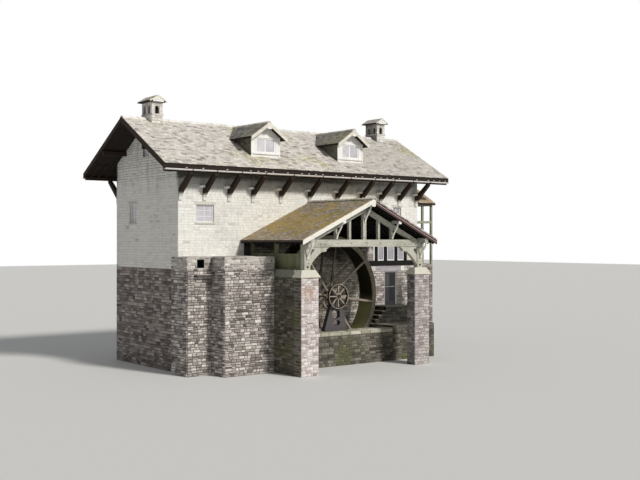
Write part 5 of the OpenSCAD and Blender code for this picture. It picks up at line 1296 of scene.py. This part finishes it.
def gallery():
    """Tiles and floor of the small gallery on the right end."""
    tiles, boards = Pile(141), Pile(142)
    c, s = math.cos(PITCH), math.sin(PITCH)
    out, eave_z, x0, x1, deep = 0.15, 9.1, HALF_W + 0.02, ROOF_HALF, HIGH["gallery_base"].y
    length = (deep / 2 + out) / c - 0.03
    for y, turn, a, b in ((-out, 1, x0, x1), (deep + out, -1, -x1, -x0)):
        place = face((0, y, eave_z), X_AXIS * turn, Vector((0, turn * c, s)))
        tiles.shingle(place, rectangle(a, b, 0, length), (), 0.13, (0.15, 0.2), 0.012, 0.012)
    tiles.caps(face((0, deep / 2, HIGH["gallery_roof"].z), Y_AXIS, Z_AXIS), 0.15, PITCH, x0, x1, 0.36)
    tiles.done("gallery_tiles", "gallery_clay", "tiles")

    posts = [(x, x + 0.14, y, y + 0.14)
             for x, y in ((8.86, 0), (9.61, 0), (8.86, 3.86), (9.61, 3.86), (9.61, 1.93))]
    boards.lay(top_of(BARE_Z), rectangle(HALF_W + 0.01, 9.74, 0.01, deep - 0.01), posts, course=0.19,
               width=(3, 4), relief=0.02, bevel=0.005, gap=0.003, **BOARDS)
    boards.done("gallery_floor", "floor_boards", "floor_boards")


def scene_setup():
    """Camera at the photograph's viewpoint, soft light, pale floor and pale background."""
    scene = bpy.context.scene
    yaw_deg, focal_px, width_px = 38.0, 950.0, 640
    camera = bpy.data.objects.new("camera", bpy.data.cameras.new("camera"))
    camera.location = (-32.58, WALL_Y - 42.70, 6.80)
    camera.rotation_euler = (math.radians(90), 0, math.radians(-yaw_deg))
    camera.data.sensor_width = 36.0
    camera.data.lens = focal_px / width_px * camera.data.sensor_width
    camera.data.clip_end = 500
    scene.collection.objects.link(camera)
    scene.camera = camera
    scene.view_settings.view_transform = "Standard"

    world = bpy.data.worlds.new("world")
    scene.world = world
    world.use_nodes = True
    tree = world.node_tree
    tree.nodes.clear()
    light = add_node(tree, "Background", {"Color": (0.95, 0.97, 1.0), "Strength": 0.26})
    seen = add_node(tree, "Background", {"Color": (1, 1, 1)})
    highest = add_node(tree, "LightPath", {}, "Is Camera Ray")
    for ray in ("Is Glossy Ray", "Is Transmission Ray"):
        other = add_node(tree, "LightPath", {}, ray)
        highest = add_node(tree, "Math", {0: highest, 1: other}, operation="MAXIMUM")
    mixed = add_node(tree, "MixShader", {0: highest, 1: light, 2: seen})
    add_node(tree, "OutputWorld", {0: mixed})

    sun = bpy.data.objects.new("sun", bpy.data.lights.new("sun", "SUN"))
    sun.data.energy = 2.6
    sun.data.angle = math.radians(9)
    sun.data.color = (1.0, 0.97, 0.92)
    sun.rotation_euler = (math.radians(56), 0, math.radians(14))
    scene.collection.objects.link(sun)

    bpy.ops.mesh.primitive_plane_add(size=400, location=(0, 0, -0.002))
    floor = bpy.context.object
    floor.name = "floor"
    floor.data.materials.append(plain("floor_paint", (0.80, 0.80, 0.785), 0.9))


for finish, names in NODE_FINISH.items():
    for name in names.split():
        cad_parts[name].data.materials[0] = MATERIALS[finish]

for build in (scene_setup, white_walls, bare_walls, abutment_stones, low_stones, main_roof, gutter_fittings,
              corbels_and_sills, dormers, chimney_dressing, porch_roof, porch_fittings, door_fittings,
              window_bars, wheel_dressing, stand_fittings, gallery):
    build()
